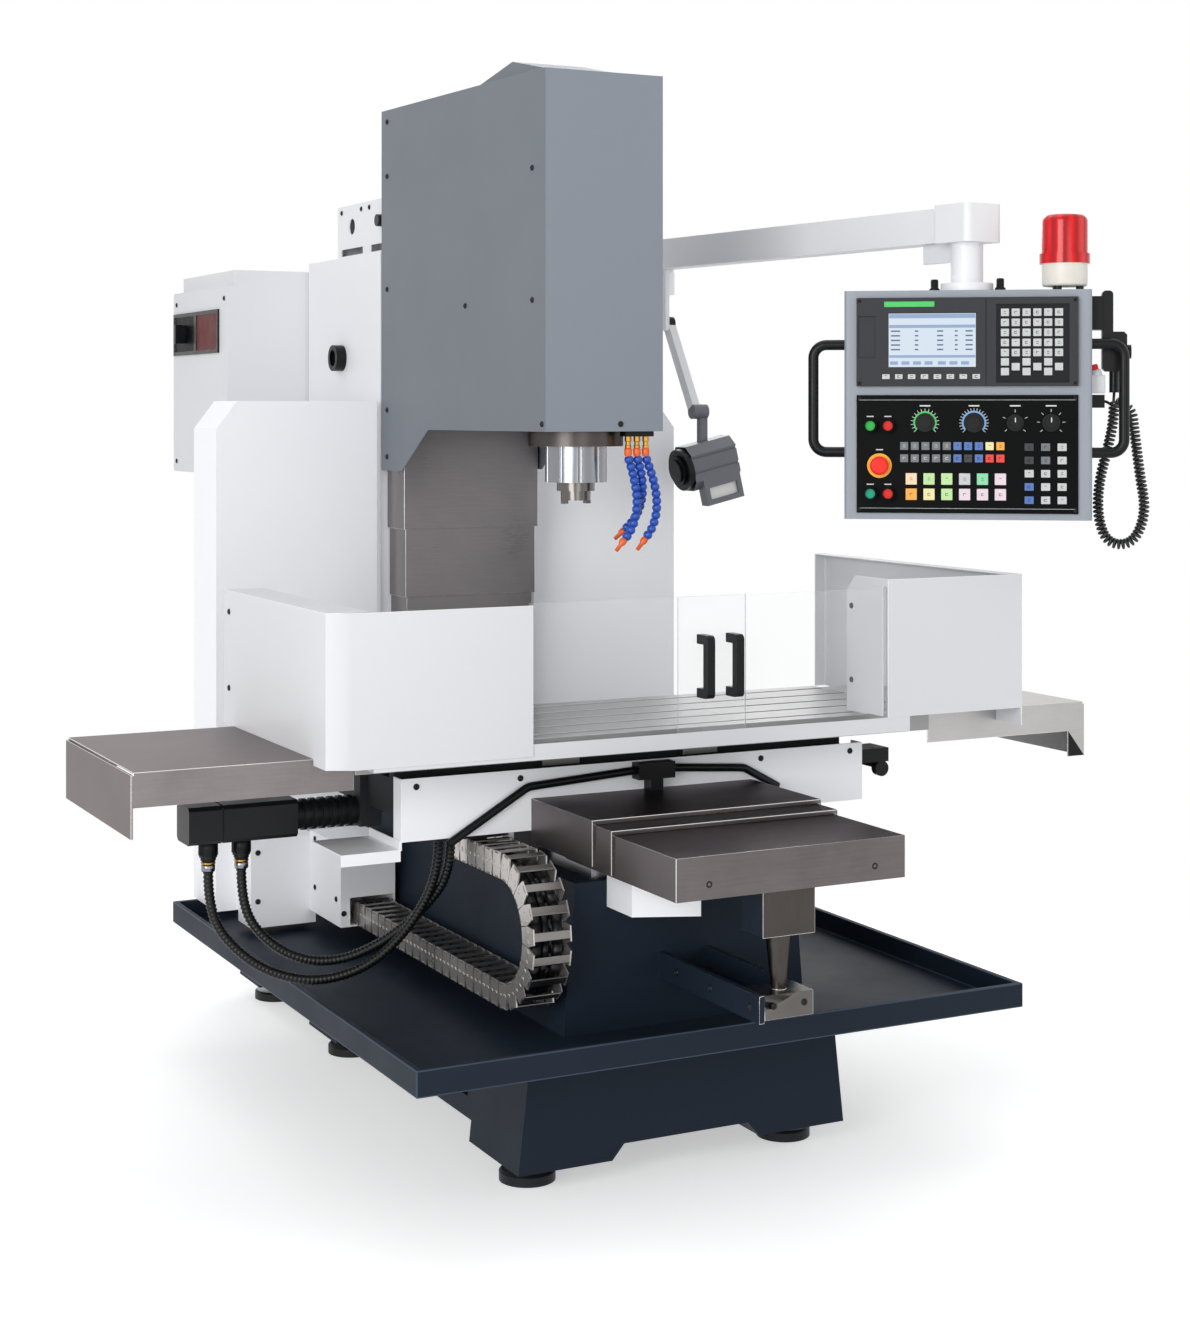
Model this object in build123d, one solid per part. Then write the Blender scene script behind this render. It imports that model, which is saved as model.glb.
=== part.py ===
"""Open bed-type vertical machining center: X runs right, Y runs to the back, Z up from the floor, millimetres."""

import os
from math import atan2, cos, degrees, hypot, pi, radians, sin, tan

from build123d import *

os.makedirs("parts", exist_ok=True)

# Clearances and stock that all pieces share
GAP = 0.5  # between pieces that slide past each other
SEAT_GAP = 0.3  # between a moving piece and the face that carries it
RUNNING = 0.05  # radial play of a turning shaft in its bore
OVERRUN = 2.0  # how far a cut runs past the face it opens
SHEET = 3.0  # folded painted sheet
COVER_SHEET = 2.0  # steel sheet of the way covers

# Base casting, its bed and feet
BASE_FRONT = -972.0
BASE_BACK = 860.0
BASE_BOTTOM = 53.0
ARCH_TOP = 97.0
PEDESTAL_TOP = 320.0
PEDESTAL_HALF_BOTTOM = 395.0
PEDESTAL_HALF_TOP = 365.0
BED_HALF_BOTTOM = 292.0
BED_HALF_TOP = 266.0
BED_TOP = 640.0
FOOT_BLOCKS_Y = ((-972.0, -722.0), (92.0, 292.0), (690.0, 860.0))
FOOT_HALF_SPAN = 316.0
NOTCH_HALF = 150.0
NOTCH_SLANT = 30.0
NOTCH_RISE = 32.0
SIDE_POCKET_DEPTH = 30.0
SIDE_POCKET_Z = (140.0, 270.0)
PAD_RADIUS = 60.0
PAD_HEIGHT = 24.0
PAD_SOCKET = 10.0
FOOT_SCREW_RADIUS = 14.0
FOOT_SCREW_DEPTH = 50.0
FOOT_NUT_RADIUS = 26.0
FOOT_NUT_HEIGHT = 16.0
SLOT_HOLE_HALF = 45.0
SLOT_HOLE_RADIUS = 16.0
SLOT_HOLE_DEPTH = 60.0
SLOT_HOLE_Z = 600.0

# Drip tray
TRAY_HALF = 712.0
TRAY_Y = (-1198.0, 425.0)
TRAY_HEIGHT = 52.0
TRAY_FLOOR = 6.0
TRAY_RIM = 13.0

# Column
COLUMN_HALF = 205.0
COLUMN_FRONT = 278.0
COLUMN_BACK = 838.0
COLUMN_TOP = 2030.0
COLUMN_EDGE = 12.0
CHANNEL_HALF = 55.0
CHANNEL_DEPTH = 142.0
GLAND_RADIUS = 35.0
GLAND_LENGTH = 28.0
GLAND_HEIGHT = 1760.0
GLAND_Y = 561.0
GLAND_BORE = 22.0

# Guide rails and ball screws
RAIL_WIDTH = 34.0
RAIL_HEIGHT = 34.0
SCREW_RADIUS = 12.5
NUT_RADIUS = 30.0
BLOCK_WIDTH = 74.0
BLOCK_UNDER = 6.0
Y_RAIL_X = 200.0
Y_RAIL_SPAN = (-950.0, 150.0)
Y_SCREW_Z = 688.0
Y_SCREW_SPAN = (-970.0, 136.0)
Y_BEARING_FRONT = (-972.0, -930.0)
Y_BEARING_BACK = (110.0, 140.0)
BEARING_HALF = 45.0
BEARING_HEIGHT = 80.0
Z_RAIL_X = 140.0
Z_RAIL_SPAN = (1210.0, 2015.0)
Z_SCREW_Y = 365.0
Z_SCREW_RADIUS = 16.0
Z_BEARING_LOW = (1300.0, 1340.0)
Z_BEARING_HIGH = 1990.0
Z_SCREW_SPAN = (1304.0, 2026.0)

# Axis motors
MOTOR_HALF = 55.0
Y_MOTOR_LENGTH = 178.0
Z_MOTOR_LENGTH = 130.0

# Splash panels beside the column, with the cable box and the chip deflector
SPLASH_FRONT = 258.0
SPLASH_OUTER = 650.0
SPLASH_INNER = 223.0
SPLASH_TOP = 1643.0
SPLASH_CHAMFER = (54.0, 70.0)
SPLASH_RETURN = 190.0
SPLASH_INNER_RETURN = 20.0
SPLASH_BED_GAP = 3.0
SPLASH_BED_TOP = 650.0
CABLE_BOX_X = (-593.0, -425.0)
CABLE_BOX_DEPTH = 100.0
CABLE_BOX_Z = (345.0, 562.0)
INLET_X = (-440.0, -300.0)
INLET_FRONT = -60.0
INLET_TOP = 575.0
INLET_SEAT = 0.4
INLET_EDGE = 12.0
DEFLECTOR_X = (-190.0, -60.0)
DEFLECTOR_Z = (585.0, 676.0)
DEFLECTOR_REACH = 110.0

# Electrical cabinet on the back of the column
CABINET_HALF = 440.0
CABINET_BACK = 1349.0
CABINET_Z = (1440.0, 1964.0)
CABINET_HOOD = 44.0
CABINET_HOOD_INSET = 22.0
CABINET_LIP = 24.0
DOOR_MARGIN = 5.0
DOOR_THICK = 22.0
DOOR_HANDLE = (18.0, 26.0, 120.0)
DOOR_HANDLE_INSET = 40.0
HINGE_RADIUS = 7.0
HINGE_KNUCKLE = 32.0
HINGE_INSET = 70.0
HINGE_LEAF = 5.0
MODULE_COUNT = 5
MODULE_SIZE = (110.0, 170.0, 300.0)
MODULE_PITCH = 150.0
SWITCH_PLATE_Y = (905.0, 1337.0)
SWITCH_PLATE_Z = (1780.0, 1902.0)
SWITCH_PLATE_THICK = 6.0
SWITCH_FRAME = 10.0
SWITCH_RECESS = 3.0
KNOB_RADIUS = 27.0
KNOB_BASE = 9.0
KNOB_GRIP = (20.0, 22.0)

# Z motor cover on top of the column
MOTOR_COVER_HALF = 150.0
MOTOR_COVER_Y = (296.0, 743.0)
MOTOR_COVER_HEIGHT = 152.0
MOTOR_COVER_WINDOW = (14.0, 33.0)
MOTOR_COVER_POST = 30.0
MOTOR_COVER_HOLE = 22.0
MOTOR_COVER_GLAND = 16.0

# Saddle
SADDLE_HALF = 574.0
SADDLE_FRONT = -779.0
SADDLE_BACK = -345.0
SADDLE_Z = (760.0, 838.0)
SADDLE_COVER_Z = (718.0, 850.0)
SADDLE_NOSE = -735.0
SADDLE_END_GAP = 14.0
SADDLE_RETURN = 44.0
SADDLE_PAD_INNER = 320.0
SADDLE_FEET_Y = ((-735.0, -610.0), (-455.0, -345.0))
X_RAIL_Y = (-690.0, -400.0)
X_RAIL_WIDTH = 28.0
X_RAIL_HEIGHT = 24.0
X_SCREW_Y = -507.0
X_SCREW_Z = 744.0
X_NUT_LENGTH = 80.0
X_LANE_HALF = 38.0
X_BEARING = 36.0
X_BEARING_HALF = 33.0
Y_NUT_Y = (-700.0, -640.0)
LUG_X = (-474.0, -304.0)
LUG_Y = (-726.0, -640.0)
LUG_BOTTOM = 702.0
X_MOTOR_X = (-960.0, -720.0)
X_MOTOR_HALF_Y = 45.0
X_MOTOR_HALF_Z = 40.0
HOUSING_RADIUS = 30.0
HOUSING_RIB_RADIUS = 34.0
HOUSING_RIBS = 7
ENCODER_LENGTH = 72.0
ENCODER_GROOVE = (4.0, 3.0)
PLUG_X = (-905.0, -832.0)
PLUG_RADII = (19.0, 14.0)
PLUG_LENGTHS = (34.0, 30.0)
HOSE_RADIUS = 11.0
HOSE_END_X = (-452.0, -424.0)
HOSE_END_Y = -690.0
SHELF_X = (-706.0, -574.0)
SHELF_Y = (-776.0, -600.0)
SHELF_Z = 700.0

# Limit switches on the saddle
SWITCH_X = (-30.0, 60.0)
SWITCH_DEPTH = 34.0
SWITCH_Z = (812.0, 848.0)
SWITCH_FOOT = (30.0, 25.0)
CONDUIT_RADIUS = 9.0
CONDUIT_KNEES = ((-286.0, 814.0), (250.0, 816.0))
CONDUIT_ENDS = ((-470.0, 708.0), (338.0, 768.0))
CONDUIT_BEND = 40.0
END_SWITCH_X = 76.0
END_SWITCH_Y = (-776.0, -700.0)
END_SWITCH_Z = (800.0, 832.0)
ROLLER_RADIUS = 18.0
ROLLER_DROP = 34.0

# Y way covers: rear on the saddle, middle, front on its own jack
Y_COVER_REAR = {"half": 275.0, "ys": (-1069.0, -779.0), "zs": (693.0, 787.0)}
Y_COVER_MIDDLE = {"half": 269.0, "ys": (-1142.0, -782.0), "zs": (688.0, 777.0)}
Y_COVER_FRONT = {"half": 263.0, "ys": (-1397.0, -922.0), "zs": (683.0, 767.0)}
LIP_LENGTH = 5.0
LIP_GAP = 0.4
NOTCH_GAP = 2.5
JACK_HALF = 60.0
JACK_Y = (-1380.0, -1300.0)
JACK_BOTTOM = 590.0
JACK_POST_RADII = (26.0, 15.0)
JACK_POST_LENGTH = 112.0
CLAMP_HALF = 56.0
CLAMP_HEIGHT = 48.0
ARM_PLATE = 12.0
ARM_DROP = 6.0

# Table, its trough and way covers
TABLE_HALF = 706.0
TABLE_Y = (-858.0, -362.0)
TABLE_Z = (880.0, 927.0)
T_SLOTS = 5
T_SLOT_WIDTH = 14.0
T_SLOT_HEAD = 24.0
T_SLOT_DEPTH = 25.0
T_SLOT_HEAD_HEIGHT = 11.0
X_BLOCK_X = (130.0, 220.0)
X_BLOCK_WIDTH = 64.0
X_COVER_END = 1160.0
X_COVER_Y = (-852.0, -330.0)
X_COVER_Z = (849.0, 918.0)
END_PLATE = 5.0
END_PLATE_Z = (788.0, 913.0)
END_POST = 45.0
TROUGH_FRONT = -947.0
TROUGH_X = (-700.0, 590.0)
TROUGH_Z = (897.0, 930.0)
TRACK_RIB = 3.0
TRACK_HEIGHT = 12.0

# Splash guards and sliding doors on the table
GUARD_LEFT = -793.0
GUARD_CHAMFER = (50.0, 26.0)
GUARD_LEFT_INNER = -350.0
GUARD_LEFT_BACK = -261.0
GUARD_LEFT_Z = (905.0, 1217.0)
GUARD_LEFT_FLANGE = 90.0
GUARD_RIGHT = 905.0
GUARD_RIGHT_INNER = 531.0
GUARD_RIGHT_BACK = -112.0
GUARD_RIGHT_TOP = 1240.0
GUARD_RIGHT_FLANGE = 34.0
GUARD_POST_BOTTOM = 890.0
RETURN_BACK = -780.0
RETURN_CORNER = 34.0
DOOR_SHEET = 5.0
DOOR_TOP = 1220.0
DOOR_LEFT_X = (-350.0, 168.0)
DOOR_RIGHT_X = (-5.0, 531.0)
HANDLE_HEIGHT = 135.0
HANDLE_REACH = 48.0
HANDLE_SECTION = (18.0, 20.0)
HANDLE_Z = 1072.0
HANDLE_X = (49.0, 121.0)

# Head
HEAD_FRONT = -592.0
HEAD_REAR = 269.0
HEAD_HALF_FRONT = 150.0
HEAD_HALF_REAR = 206.0
HEAD_BOTTOM = 1571.0
HEAD_TOP = 2390.0
HEAD_TAB_BOTTOM = 1465.0
HEAD_TAB_Y = (2.0, 152.0)
HEAD_SHEET = 2.5
HOOD_HALF = 95.0
HOOD_Y = (-560.0, -295.0, 60.0)
HOOD_RISE = 58.0
CASTING_HALF = 128.0
CASTING_FRONT = -560.0
CASTING_TOP = 1830.0
PLATE_HEIGHT = 12.0
CARRIAGE_HALF = 184.0
CARRIAGE_Y = (165.0, 205.0)
CARRIAGE_Z = (1600.0, 1962.0)
Z_BLOCKS_Z = ((1620.0, 1730.0), (1840.0, 1950.0))
Z_NUT_Z = (1750.0, 1830.0)
Z_NUT_ARM_HALF = 35.0
SPINDLE_Y = -442.0
FLANGE_RADIUS = 111.0
FLANGE_HEIGHT = 35.0
HOUSING_BODY_RADIUS = 72.0
HOUSING_BODY_HEIGHT = 84.0
FLUTES = 10
FLUTE_RADIUS = 6.0
NOSE_RADIUS = 44.45
NOSE_HEIGHT = 20.0
NOSE_STEP_RADIUS = 35.0
NOSE_STEP_HEIGHT = 22.0
SHAFT_RADIUS = 40.0
SHAFT_TOP = 1815.0
TAPER_RADIUS = 22.225
TAPER_DEPTH = 65.0
TAPER_SHARE = 7 / 24
KEY_SIZE = (16.0, 12.0, 8.0)
SPINDLE_MOTOR_RADIUS = 92.0
MOTOR_HEADROOM = 60.0

# Z way covers: upper on the head, middle, lower on the column
Z_COVER_UPPER = {"half": 188.0, "front": 158.0, "zs": (1316.0, 1571.0)}
Z_COVER_MIDDLE = {"half": 182.0, "front": 164.0, "zs": (1143.0, 1365.0)}
Z_COVER_LOWER = {"half": 176.0, "front": 170.0, "zs": (640.0, 1185.0)}
Z_COVER_BACK = 272.0

# Coolant nozzles under the head
MANIFOLD_X = (62.0, 136.0)
MANIFOLD_Y = (-575.0, -545.0)
MANIFOLD_HEIGHT = 12.0
FITTING_X = (76.0, 99.0, 122.0)
FITTING_RADIUS = 8.0
FITTING_LENGTH = 26.0
SOCKET_RADIUS = 9.0
SOCKET_LENGTH = 20.0
NOZZLE_HOSE_RADIUS = 9.8
NOZZLE_BEADS = 11
BEAD_PITCH = 16.5
BEAD_TAPER = 0.62
NOZZLE_TIP_RADII = (8.5, 4.0)
NOZZLE_TIP_LENGTH = 34.0
HOSE_LEANS = (-18.0, -18.0, -22.0)
HOSE_BENDS = (50.0, 40.0, 48.0)
HOSE_BACKS = (0.06, 1.0, 0.12)

# Swing arm and its bracket
PIVOT = (630.0, 320.0)
BRACKET_Y = (278.0, 362.0)
BRACKET_Z = (1940.0, 2000.0)
BOSS_RADIUS = 50.0
PIVOT_RADIUS = 20.0
ARM_Z = (2008.0, 2088.0)
ARM_WIDTH = 60.0
HUB_RADIUS = 48.0
ELBOW = (771.0, -916.0)
ELBOW_SIZE = (120.0, 110.0, 88.0)
ELBOW_EDGE = 16.0
POST_RADIUS = 37.0

# Pendant, in its own frame at the elbow: x along the panel, y to its back
PENDANT_YAW = -36.0
PENDANT_SIZE = (557.0, 130.0, 523.0)
PENDANT_BOTTOM = 1370.0
PENDANT_EDGE = 10.0
SWIVEL_RADIUS = 60.0
SWIVEL_HEIGHT = 18.0
SWIVEL_PIN = 60.0
PANEL_X = (-250.0, 247.0)
DISPLAY_Z = (1674.0, 1876.0)
DISPLAY_DEPTH = 14.0
SCREEN_X = (-178.0, 20.0)
SCREEN_Z = (1717.0, 1841.0)
SCREEN_RECESS = 4.0
CARD_SLOT_X = (-246.0, -208.0)
CARD_SLOT_Z = (1740.0, 1834.0)
KEYBOARD_X = (65.0, 227.0)
KEYBOARD_Z = (1682.0, 1860.0)
KEYBOARD_RECESS = 3.0
OPERATOR_Z = (1385.0, 1654.0)
OPERATOR_DEPTH = 6.0
KEY_RISE = 4.0
MDI_COLUMNS_X = (84.0, 204.0)
MDI_ROWS_Z = (1750.0, 1841.0)
MDI_KEY = (18.0, 17.0)
MDI_LOW_ROWS_Z = (1729.0, 1707.0)
SOFT_KEYS_X = (-183.0, 20.0)
SOFT_KEYS_Z = 1696.0
SOFT_KEY = (17.0, 11.0)
GRID_KEYS_X = (-142.0, 74.0)
GRID_KEYS_Z = (1538.0, 1510.0)
GRID_KEY = (18.0, 18.0)
WIDE_KEYS_X = (-126.0, 74.0)
WIDE_KEYS_Z = (1463.0, 1428.0)
WIDE_KEY = (25.0, 26.0)
SIDE_KEYS_X = (138.0, 211.0)
SIDE_KEYS_Z = (1536.0, 1416.0)
SIDE_KEY = (20.0, 17.0)
BUTTON_X = (-219.0, -179.0)
BUTTON_Z = (1584.0, 1429.0)
BUTTON_RADIUS = 11.0
BUTTON_RISE = 9.0
BUTTON_TRAVEL = 4.0
COLLAR_WALL = 4.0
COLLAR_HEIGHT = 6.0
STOP_PLACE = (-198.0, 1493.0)
STOP_RING_RADIUS = 28.0
STOP_RING_HEIGHT = 3.0
STOP_HEAD_RADIUS = 21.0
STOP_STEM_RADIUS = 13.0
STOP_HEIGHT = 26.0
STOP_TRAVEL = 5.0
DIALS = {"feed_knob": (-95.0, 21.0), "override_knob": (15.0, 22.0), "mode_knob": (107.0, 19.0), "spindle_knob": (187.0, 20.0)}
DIAL_Z = 1591.0
DIAL_SKIRT = 6.0
DIAL_HEIGHT = 18.0
DIAL_SHARE = 0.62
TUBE_RADIUS = 12.0
TUBE_REACH = 72.0
TUBE_Z = (1523.0, 1770.0)
TUBE_BEND = 30.0
TUBE_Y = -38.0
BEACON_X = 221.0
BEACON_Y = 10.0
BEACON_RADIUS = 51.5
BEACON_BASE_HEIGHT = 52.0
BEACON_FOOT = (9.0, 10.0)
BEACON_FEET = 3
BEACON_FOOT_RING = 34.0
BEACON_EDGE = 6.0
COLLAR_RADIUS = 57.0
COLLAR_HEIGHT = 23.0
BEACON_LENS_RADIUS = 52.0
BEACON_LENS_HEIGHT = 112.0
BEACON_DOME = 16.0
HOLDER_X = 26.0
HOLDER_Y = (-6.0, 52.0)
HOLDER_Z = (1803.0, 1880.0)
HANDSET_Y = (4.0, 42.0)
GRIP_WIDTH = 25.0
GRIP_Z = (1780.0, 1893.0)
GRIP_EDGE = 9.0
CASE_WIDTH = 56.0
CASE_Z = (1708.0, 1799.0)
CASE_EDGE = 7.0
HANDSET_BUTTON = (7.0, 6.0)
HANDSET_DIAL = (16.0, 10.0)
RELIEF_RADIUS = 11.0
RELIEF_LENGTH = 48.0
CORD_RADIUS = 13.0
CORD_LUG = (34.0, 28.0, 30.0)
CORD_LUG_Y = 50.0
CORD_LUG_BOTTOM = 1625.0

# Work light under the arm bracket
LIGHT_PLATE_X = (600.0, 612.0)
LIGHT_PLATE_Y = (214.0, 300.0)
LIGHT_PLATE_BOTTOM = 1838.0
LIGHT_KNUCKLE = (238.0, 1856.0)
LIGHT_ELBOW = (92.0, 1616.0)
LIGHT_PIN_RADIUS = 7.0
LIGHT_HUB_RADIUS = 20.0
LIGHT_ARM_WIDTH = 22.0
LIGHT_ARM_DEPTH = 30.0
LAMP_LENGTH = 140.0
LAMP_HALF_DEPTH = 50.0
LAMP_HALF_HEIGHT = 60.0
LAMP_CUT = 24.0
LAMP_GROOVE = (6.0, 4.0)
LAMP_GROOVES_Z = (-14.0, 26.0)
LAMP_DROP = 138.0
LAMP_SHIFT = 14.0
LAMP_TILT = -13.0
LAMP_CAP = (56.0, 16.0)
LAMP_RING = (40.0, 9.0)
LAMP_DISC = (31.0, 6.0)
LAMP_FRAME_X = (-48.0, 66.0)
LAMP_FRAME_DEPTH = 34.0
LAMP_FRAME_HEIGHT = 46.0
LAMP_FRAME_BAR = 14.0
LAMP_GLASS_INSET = 8.0

RIGHT, BACK, UP = (1, 0, 0), (0, 1, 0), (0, 0, 1)
LEFT, FRONT, DOWN = (-1, 0, 0), (0, -1, 0), (0, 0, -1)
SIDES = (-1, 1)


def both(half):
    """Limits that lie alike on both sides of zero."""
    return (-half, half)


def around(middle, half):
    """Limits that lie alike on both sides of a middle."""
    return (middle - half, middle + half)


def mirrored(limits, side):
    """Limits taken to the left (-1) or kept on the right (1)."""
    return tuple(sorted(side * value for value in limits))


def spread(ends, count):
    """Evenly spaced places from the first end to the last."""
    step = (ends[1] - ends[0]) / (count - 1)
    return [ends[0] + step * index for index in range(count)]


def block(xs, ys, zs):
    """Box between two limits on each axis."""
    low = (xs[0], ys[0], zs[0])
    size = (xs[1] - xs[0], ys[1] - ys[0], zs[1] - zs[0])
    return Pos(*low) * Box(*size, align=(Align.MIN, Align.MIN, Align.MIN))


def rod(start, direction, radius, length):
    """Round bar from a start point along a direction."""
    bar = Cylinder(radius, length, align=(Align.CENTER, Align.CENTER, Align.MIN))
    return Plane(start, z_dir=direction) * bar


def cone(start, direction, radii, length):
    """Tapered round bar from a start point along a direction."""
    bar = Cone(radii[0], radii[1], length, align=(Align.CENTER, Align.CENTER, Align.MIN))
    return Plane(start, z_dir=direction) * bar


def along_x(outline, xs):
    """Outline of (y, z) points carried across X."""
    face = Plane.YZ.offset(xs[0]) * Polygon(*outline, align=None)
    return extrude(face, xs[1] - xs[0], dir=RIGHT)


def along_y(outline, ys):
    """Outline of (x, z) points carried to the back."""
    face = Plane.XZ.offset(-ys[0]) * Polygon(*outline, align=None)
    return extrude(face, ys[1] - ys[0], dir=BACK)


def along_z(outline, zs):
    """Outline of (x, y) points carried upwards."""
    face = Plane.XY.offset(zs[0]) * Polygon(*outline, align=None)
    return extrude(face, zs[1] - zs[0], dir=UP)


def inside(limits, sheet, low, high):
    """Inner limits of a sheet box: in from a closed wall, past an open one."""
    start = limits[0] + sheet if low else limits[0] - OVERRUN
    end = limits[1] - sheet if high else limits[1] + OVERRUN
    return (start, end)


def sheet_box(xs, ys, zs, sheet, walls):
    """Sheet box with the named walls closed and the other sides open."""
    hollow = block(
        inside(xs, sheet, "left" in walls, "right" in walls),
        inside(ys, sheet, "front" in walls, "back" in walls),
        inside(zs, sheet, "bottom" in walls, "top" in walls),
    )
    return block(xs, ys, zs) - hollow


def save(name, *pieces):
    """Writes one piece, or a group of separate solids, to its own file."""
    solids = [solid for piece in pieces for solid in piece.solids()]
    export_step(solids[0] if len(solids) == 1 else Compound(solids), f"parts/{name}.step")


# Base


def foot_places():
    """Centres of the levelling feet under the foot blocks."""
    return [(side * FOOT_HALF_SPAN, sum(span) / 2) for span in FOOT_BLOCKS_Y for side in SIDES]


def base_casting():
    """Pedestal with foot blocks, and the bed that rises through the tray to the Y rails."""
    full = (BASE_FRONT, BASE_BACK)
    pedestal = along_y(
        [
            (-PEDESTAL_HALF_BOTTOM, BASE_BOTTOM),
            (PEDESTAL_HALF_BOTTOM, BASE_BOTTOM),
            (PEDESTAL_HALF_TOP, PEDESTAL_TOP),
            (-PEDESTAL_HALF_TOP, PEDESTAL_TOP),
        ],
        full,
    )
    past = PEDESTAL_HALF_BOTTOM + OVERRUN
    for near, far in zip(FOOT_BLOCKS_Y, FOOT_BLOCKS_Y[1:]):
        gap = (near[1], far[0])
        pedestal -= block(both(past), gap, (BASE_BOTTOM - OVERRUN, ARCH_TOP))
        for side in SIDES:
            pocket = mirrored((PEDESTAL_HALF_BOTTOM - SIDE_POCKET_DEPTH - GAP, past), side)
            pedestal -= block(pocket, (gap[0] + NOTCH_SLANT, gap[1] - NOTCH_SLANT), SIDE_POCKET_Z)
    notch = [
        (-NOTCH_HALF - NOTCH_SLANT, BASE_BOTTOM - OVERRUN),
        (NOTCH_HALF + NOTCH_SLANT, BASE_BOTTOM - OVERRUN),
        (NOTCH_HALF, BASE_BOTTOM + NOTCH_RISE),
        (-NOTCH_HALF, BASE_BOTTOM + NOTCH_RISE),
    ]
    pedestal -= along_y(notch, (BASE_FRONT - OVERRUN, BASE_BACK + OVERRUN))
    bed = along_y(
        [
            (-BED_HALF_BOTTOM, PEDESTAL_TOP),
            (BED_HALF_BOTTOM, PEDESTAL_TOP),
            (BED_HALF_TOP, BED_TOP),
            (-BED_HALF_TOP, BED_TOP),
        ],
        full,
    )
    casting = pedestal + bed
    for span in (Y_BEARING_FRONT, Y_BEARING_BACK):
        casting += block(both(BEARING_HALF), span, (BED_TOP, BED_TOP + BEARING_HEIGHT))
    bore_length = Y_SCREW_SPAN[1] - Y_SCREW_SPAN[0] + GAP
    casting -= rod((0, Y_SCREW_SPAN[0] - GAP, Y_SCREW_Z), BACK, SCREW_RADIUS + RUNNING, bore_length)
    hole = block(both(SLOT_HOLE_HALF), (BASE_FRONT - OVERRUN, BASE_FRONT + SLOT_HOLE_DEPTH),
                 around(SLOT_HOLE_Z, SLOT_HOLE_RADIUS))
    casting -= Pos(DEFLECTOR_X[0] + SLOT_HOLE_HALF, 0, 0) * hole
    for x, y in foot_places():
        casting -= rod((x, y, BASE_BOTTOM - OVERRUN), UP, FOOT_SCREW_RADIUS + GAP, FOOT_SCREW_DEPTH + OVERRUN + GAP)
    return casting


def levelling_feet():
    """Pad and screw of each foot; the lock nut bears on the casting."""
    feet = []
    for x, y in foot_places():
        pad = rod((x, y, 0), UP, PAD_RADIUS, PAD_HEIGHT)
        pad -= rod((x, y, PAD_HEIGHT - PAD_SOCKET), UP, FOOT_SCREW_RADIUS + GAP, PAD_SOCKET + OVERRUN)
        pad = chamfer(pad.edges().group_by(Axis.Z)[-1].filter_by(GeomType.CIRCLE).sort_by(SortBy.RADIUS)[-1], PAD_SOCKET / 2)
        nut = Pos(x, y, BASE_BOTTOM - FOOT_NUT_HEIGHT) * extrude(RegularPolygon(FOOT_NUT_RADIUS, 6), FOOT_NUT_HEIGHT)
        low = PAD_HEIGHT - PAD_SOCKET
        screw = nut + rod((x, y, low), UP, FOOT_SCREW_RADIUS, BASE_BOTTOM + FOOT_SCREW_DEPTH - low)
        feet += [pad, screw]
    return feet


def drip_tray():
    """Pan with a thick rim that lies on the pedestal, open for the bed up to its back."""
    floor_z = PEDESTAL_TOP
    rim_z = floor_z + TRAY_HEIGHT
    pan = block(both(TRAY_HALF), TRAY_Y, (floor_z, rim_z))
    pan -= block(
        both(TRAY_HALF - TRAY_RIM),
        (TRAY_Y[0] + TRAY_RIM, TRAY_Y[1] - TRAY_RIM),
        (floor_z + TRAY_FLOOR, rim_z + OVERRUN),
    )
    opening_half = BED_HALF_BOTTOM + GAP
    pan -= block(both(opening_half), (BASE_FRONT - GAP, TRAY_Y[1] + OVERRUN), (floor_z - OVERRUN, rim_z + OVERRUN))
    return pan


def guide_rails(axis):
    """Pair of guide rails: along Y on the bed, or along Z on the column front."""
    rails = []
    for side in SIDES:
        if axis == "y":
            xs = around(side * Y_RAIL_X, RAIL_WIDTH / 2)
            rails.append(block(xs, Y_RAIL_SPAN, (BED_TOP, BED_TOP + RAIL_HEIGHT)))
        else:
            xs = around(side * Z_RAIL_X, RAIL_WIDTH / 2)
            rails.append(block(xs, (COLUMN_FRONT - RAIL_HEIGHT, COLUMN_FRONT), Z_RAIL_SPAN))
    return rails


def column():
    """Column casting with the ball screw channel in its front and a cable gland on its left side."""
    body = block(both(COLUMN_HALF), (COLUMN_FRONT, COLUMN_BACK), (BED_TOP, COLUMN_TOP))
    body = chamfer(body.edges().filter_by(Axis.Z).group_by(Axis.Y)[-1], COLUMN_EDGE)
    channel_y = (COLUMN_FRONT - OVERRUN, COLUMN_FRONT + CHANNEL_DEPTH)
    body -= block(both(CHANNEL_HALF), channel_y, (Z_BEARING_LOW[1], Z_BEARING_HIGH))
    bore = Z_SCREW_RADIUS + RUNNING
    bore_low = Z_SCREW_SPAN[0] - GAP
    body -= rod((0, Z_SCREW_Y, bore_low), UP, bore, Z_SCREW_SPAN[1] - bore_low + GAP)
    gland = rod((-COLUMN_HALF, GLAND_Y, GLAND_HEIGHT), LEFT, GLAND_RADIUS, GLAND_LENGTH)
    gland -= rod((-COLUMN_HALF - GLAND_LENGTH / 2, GLAND_Y, GLAND_HEIGHT), LEFT, GLAND_BORE, GLAND_LENGTH)
    return [body, gland]


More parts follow.
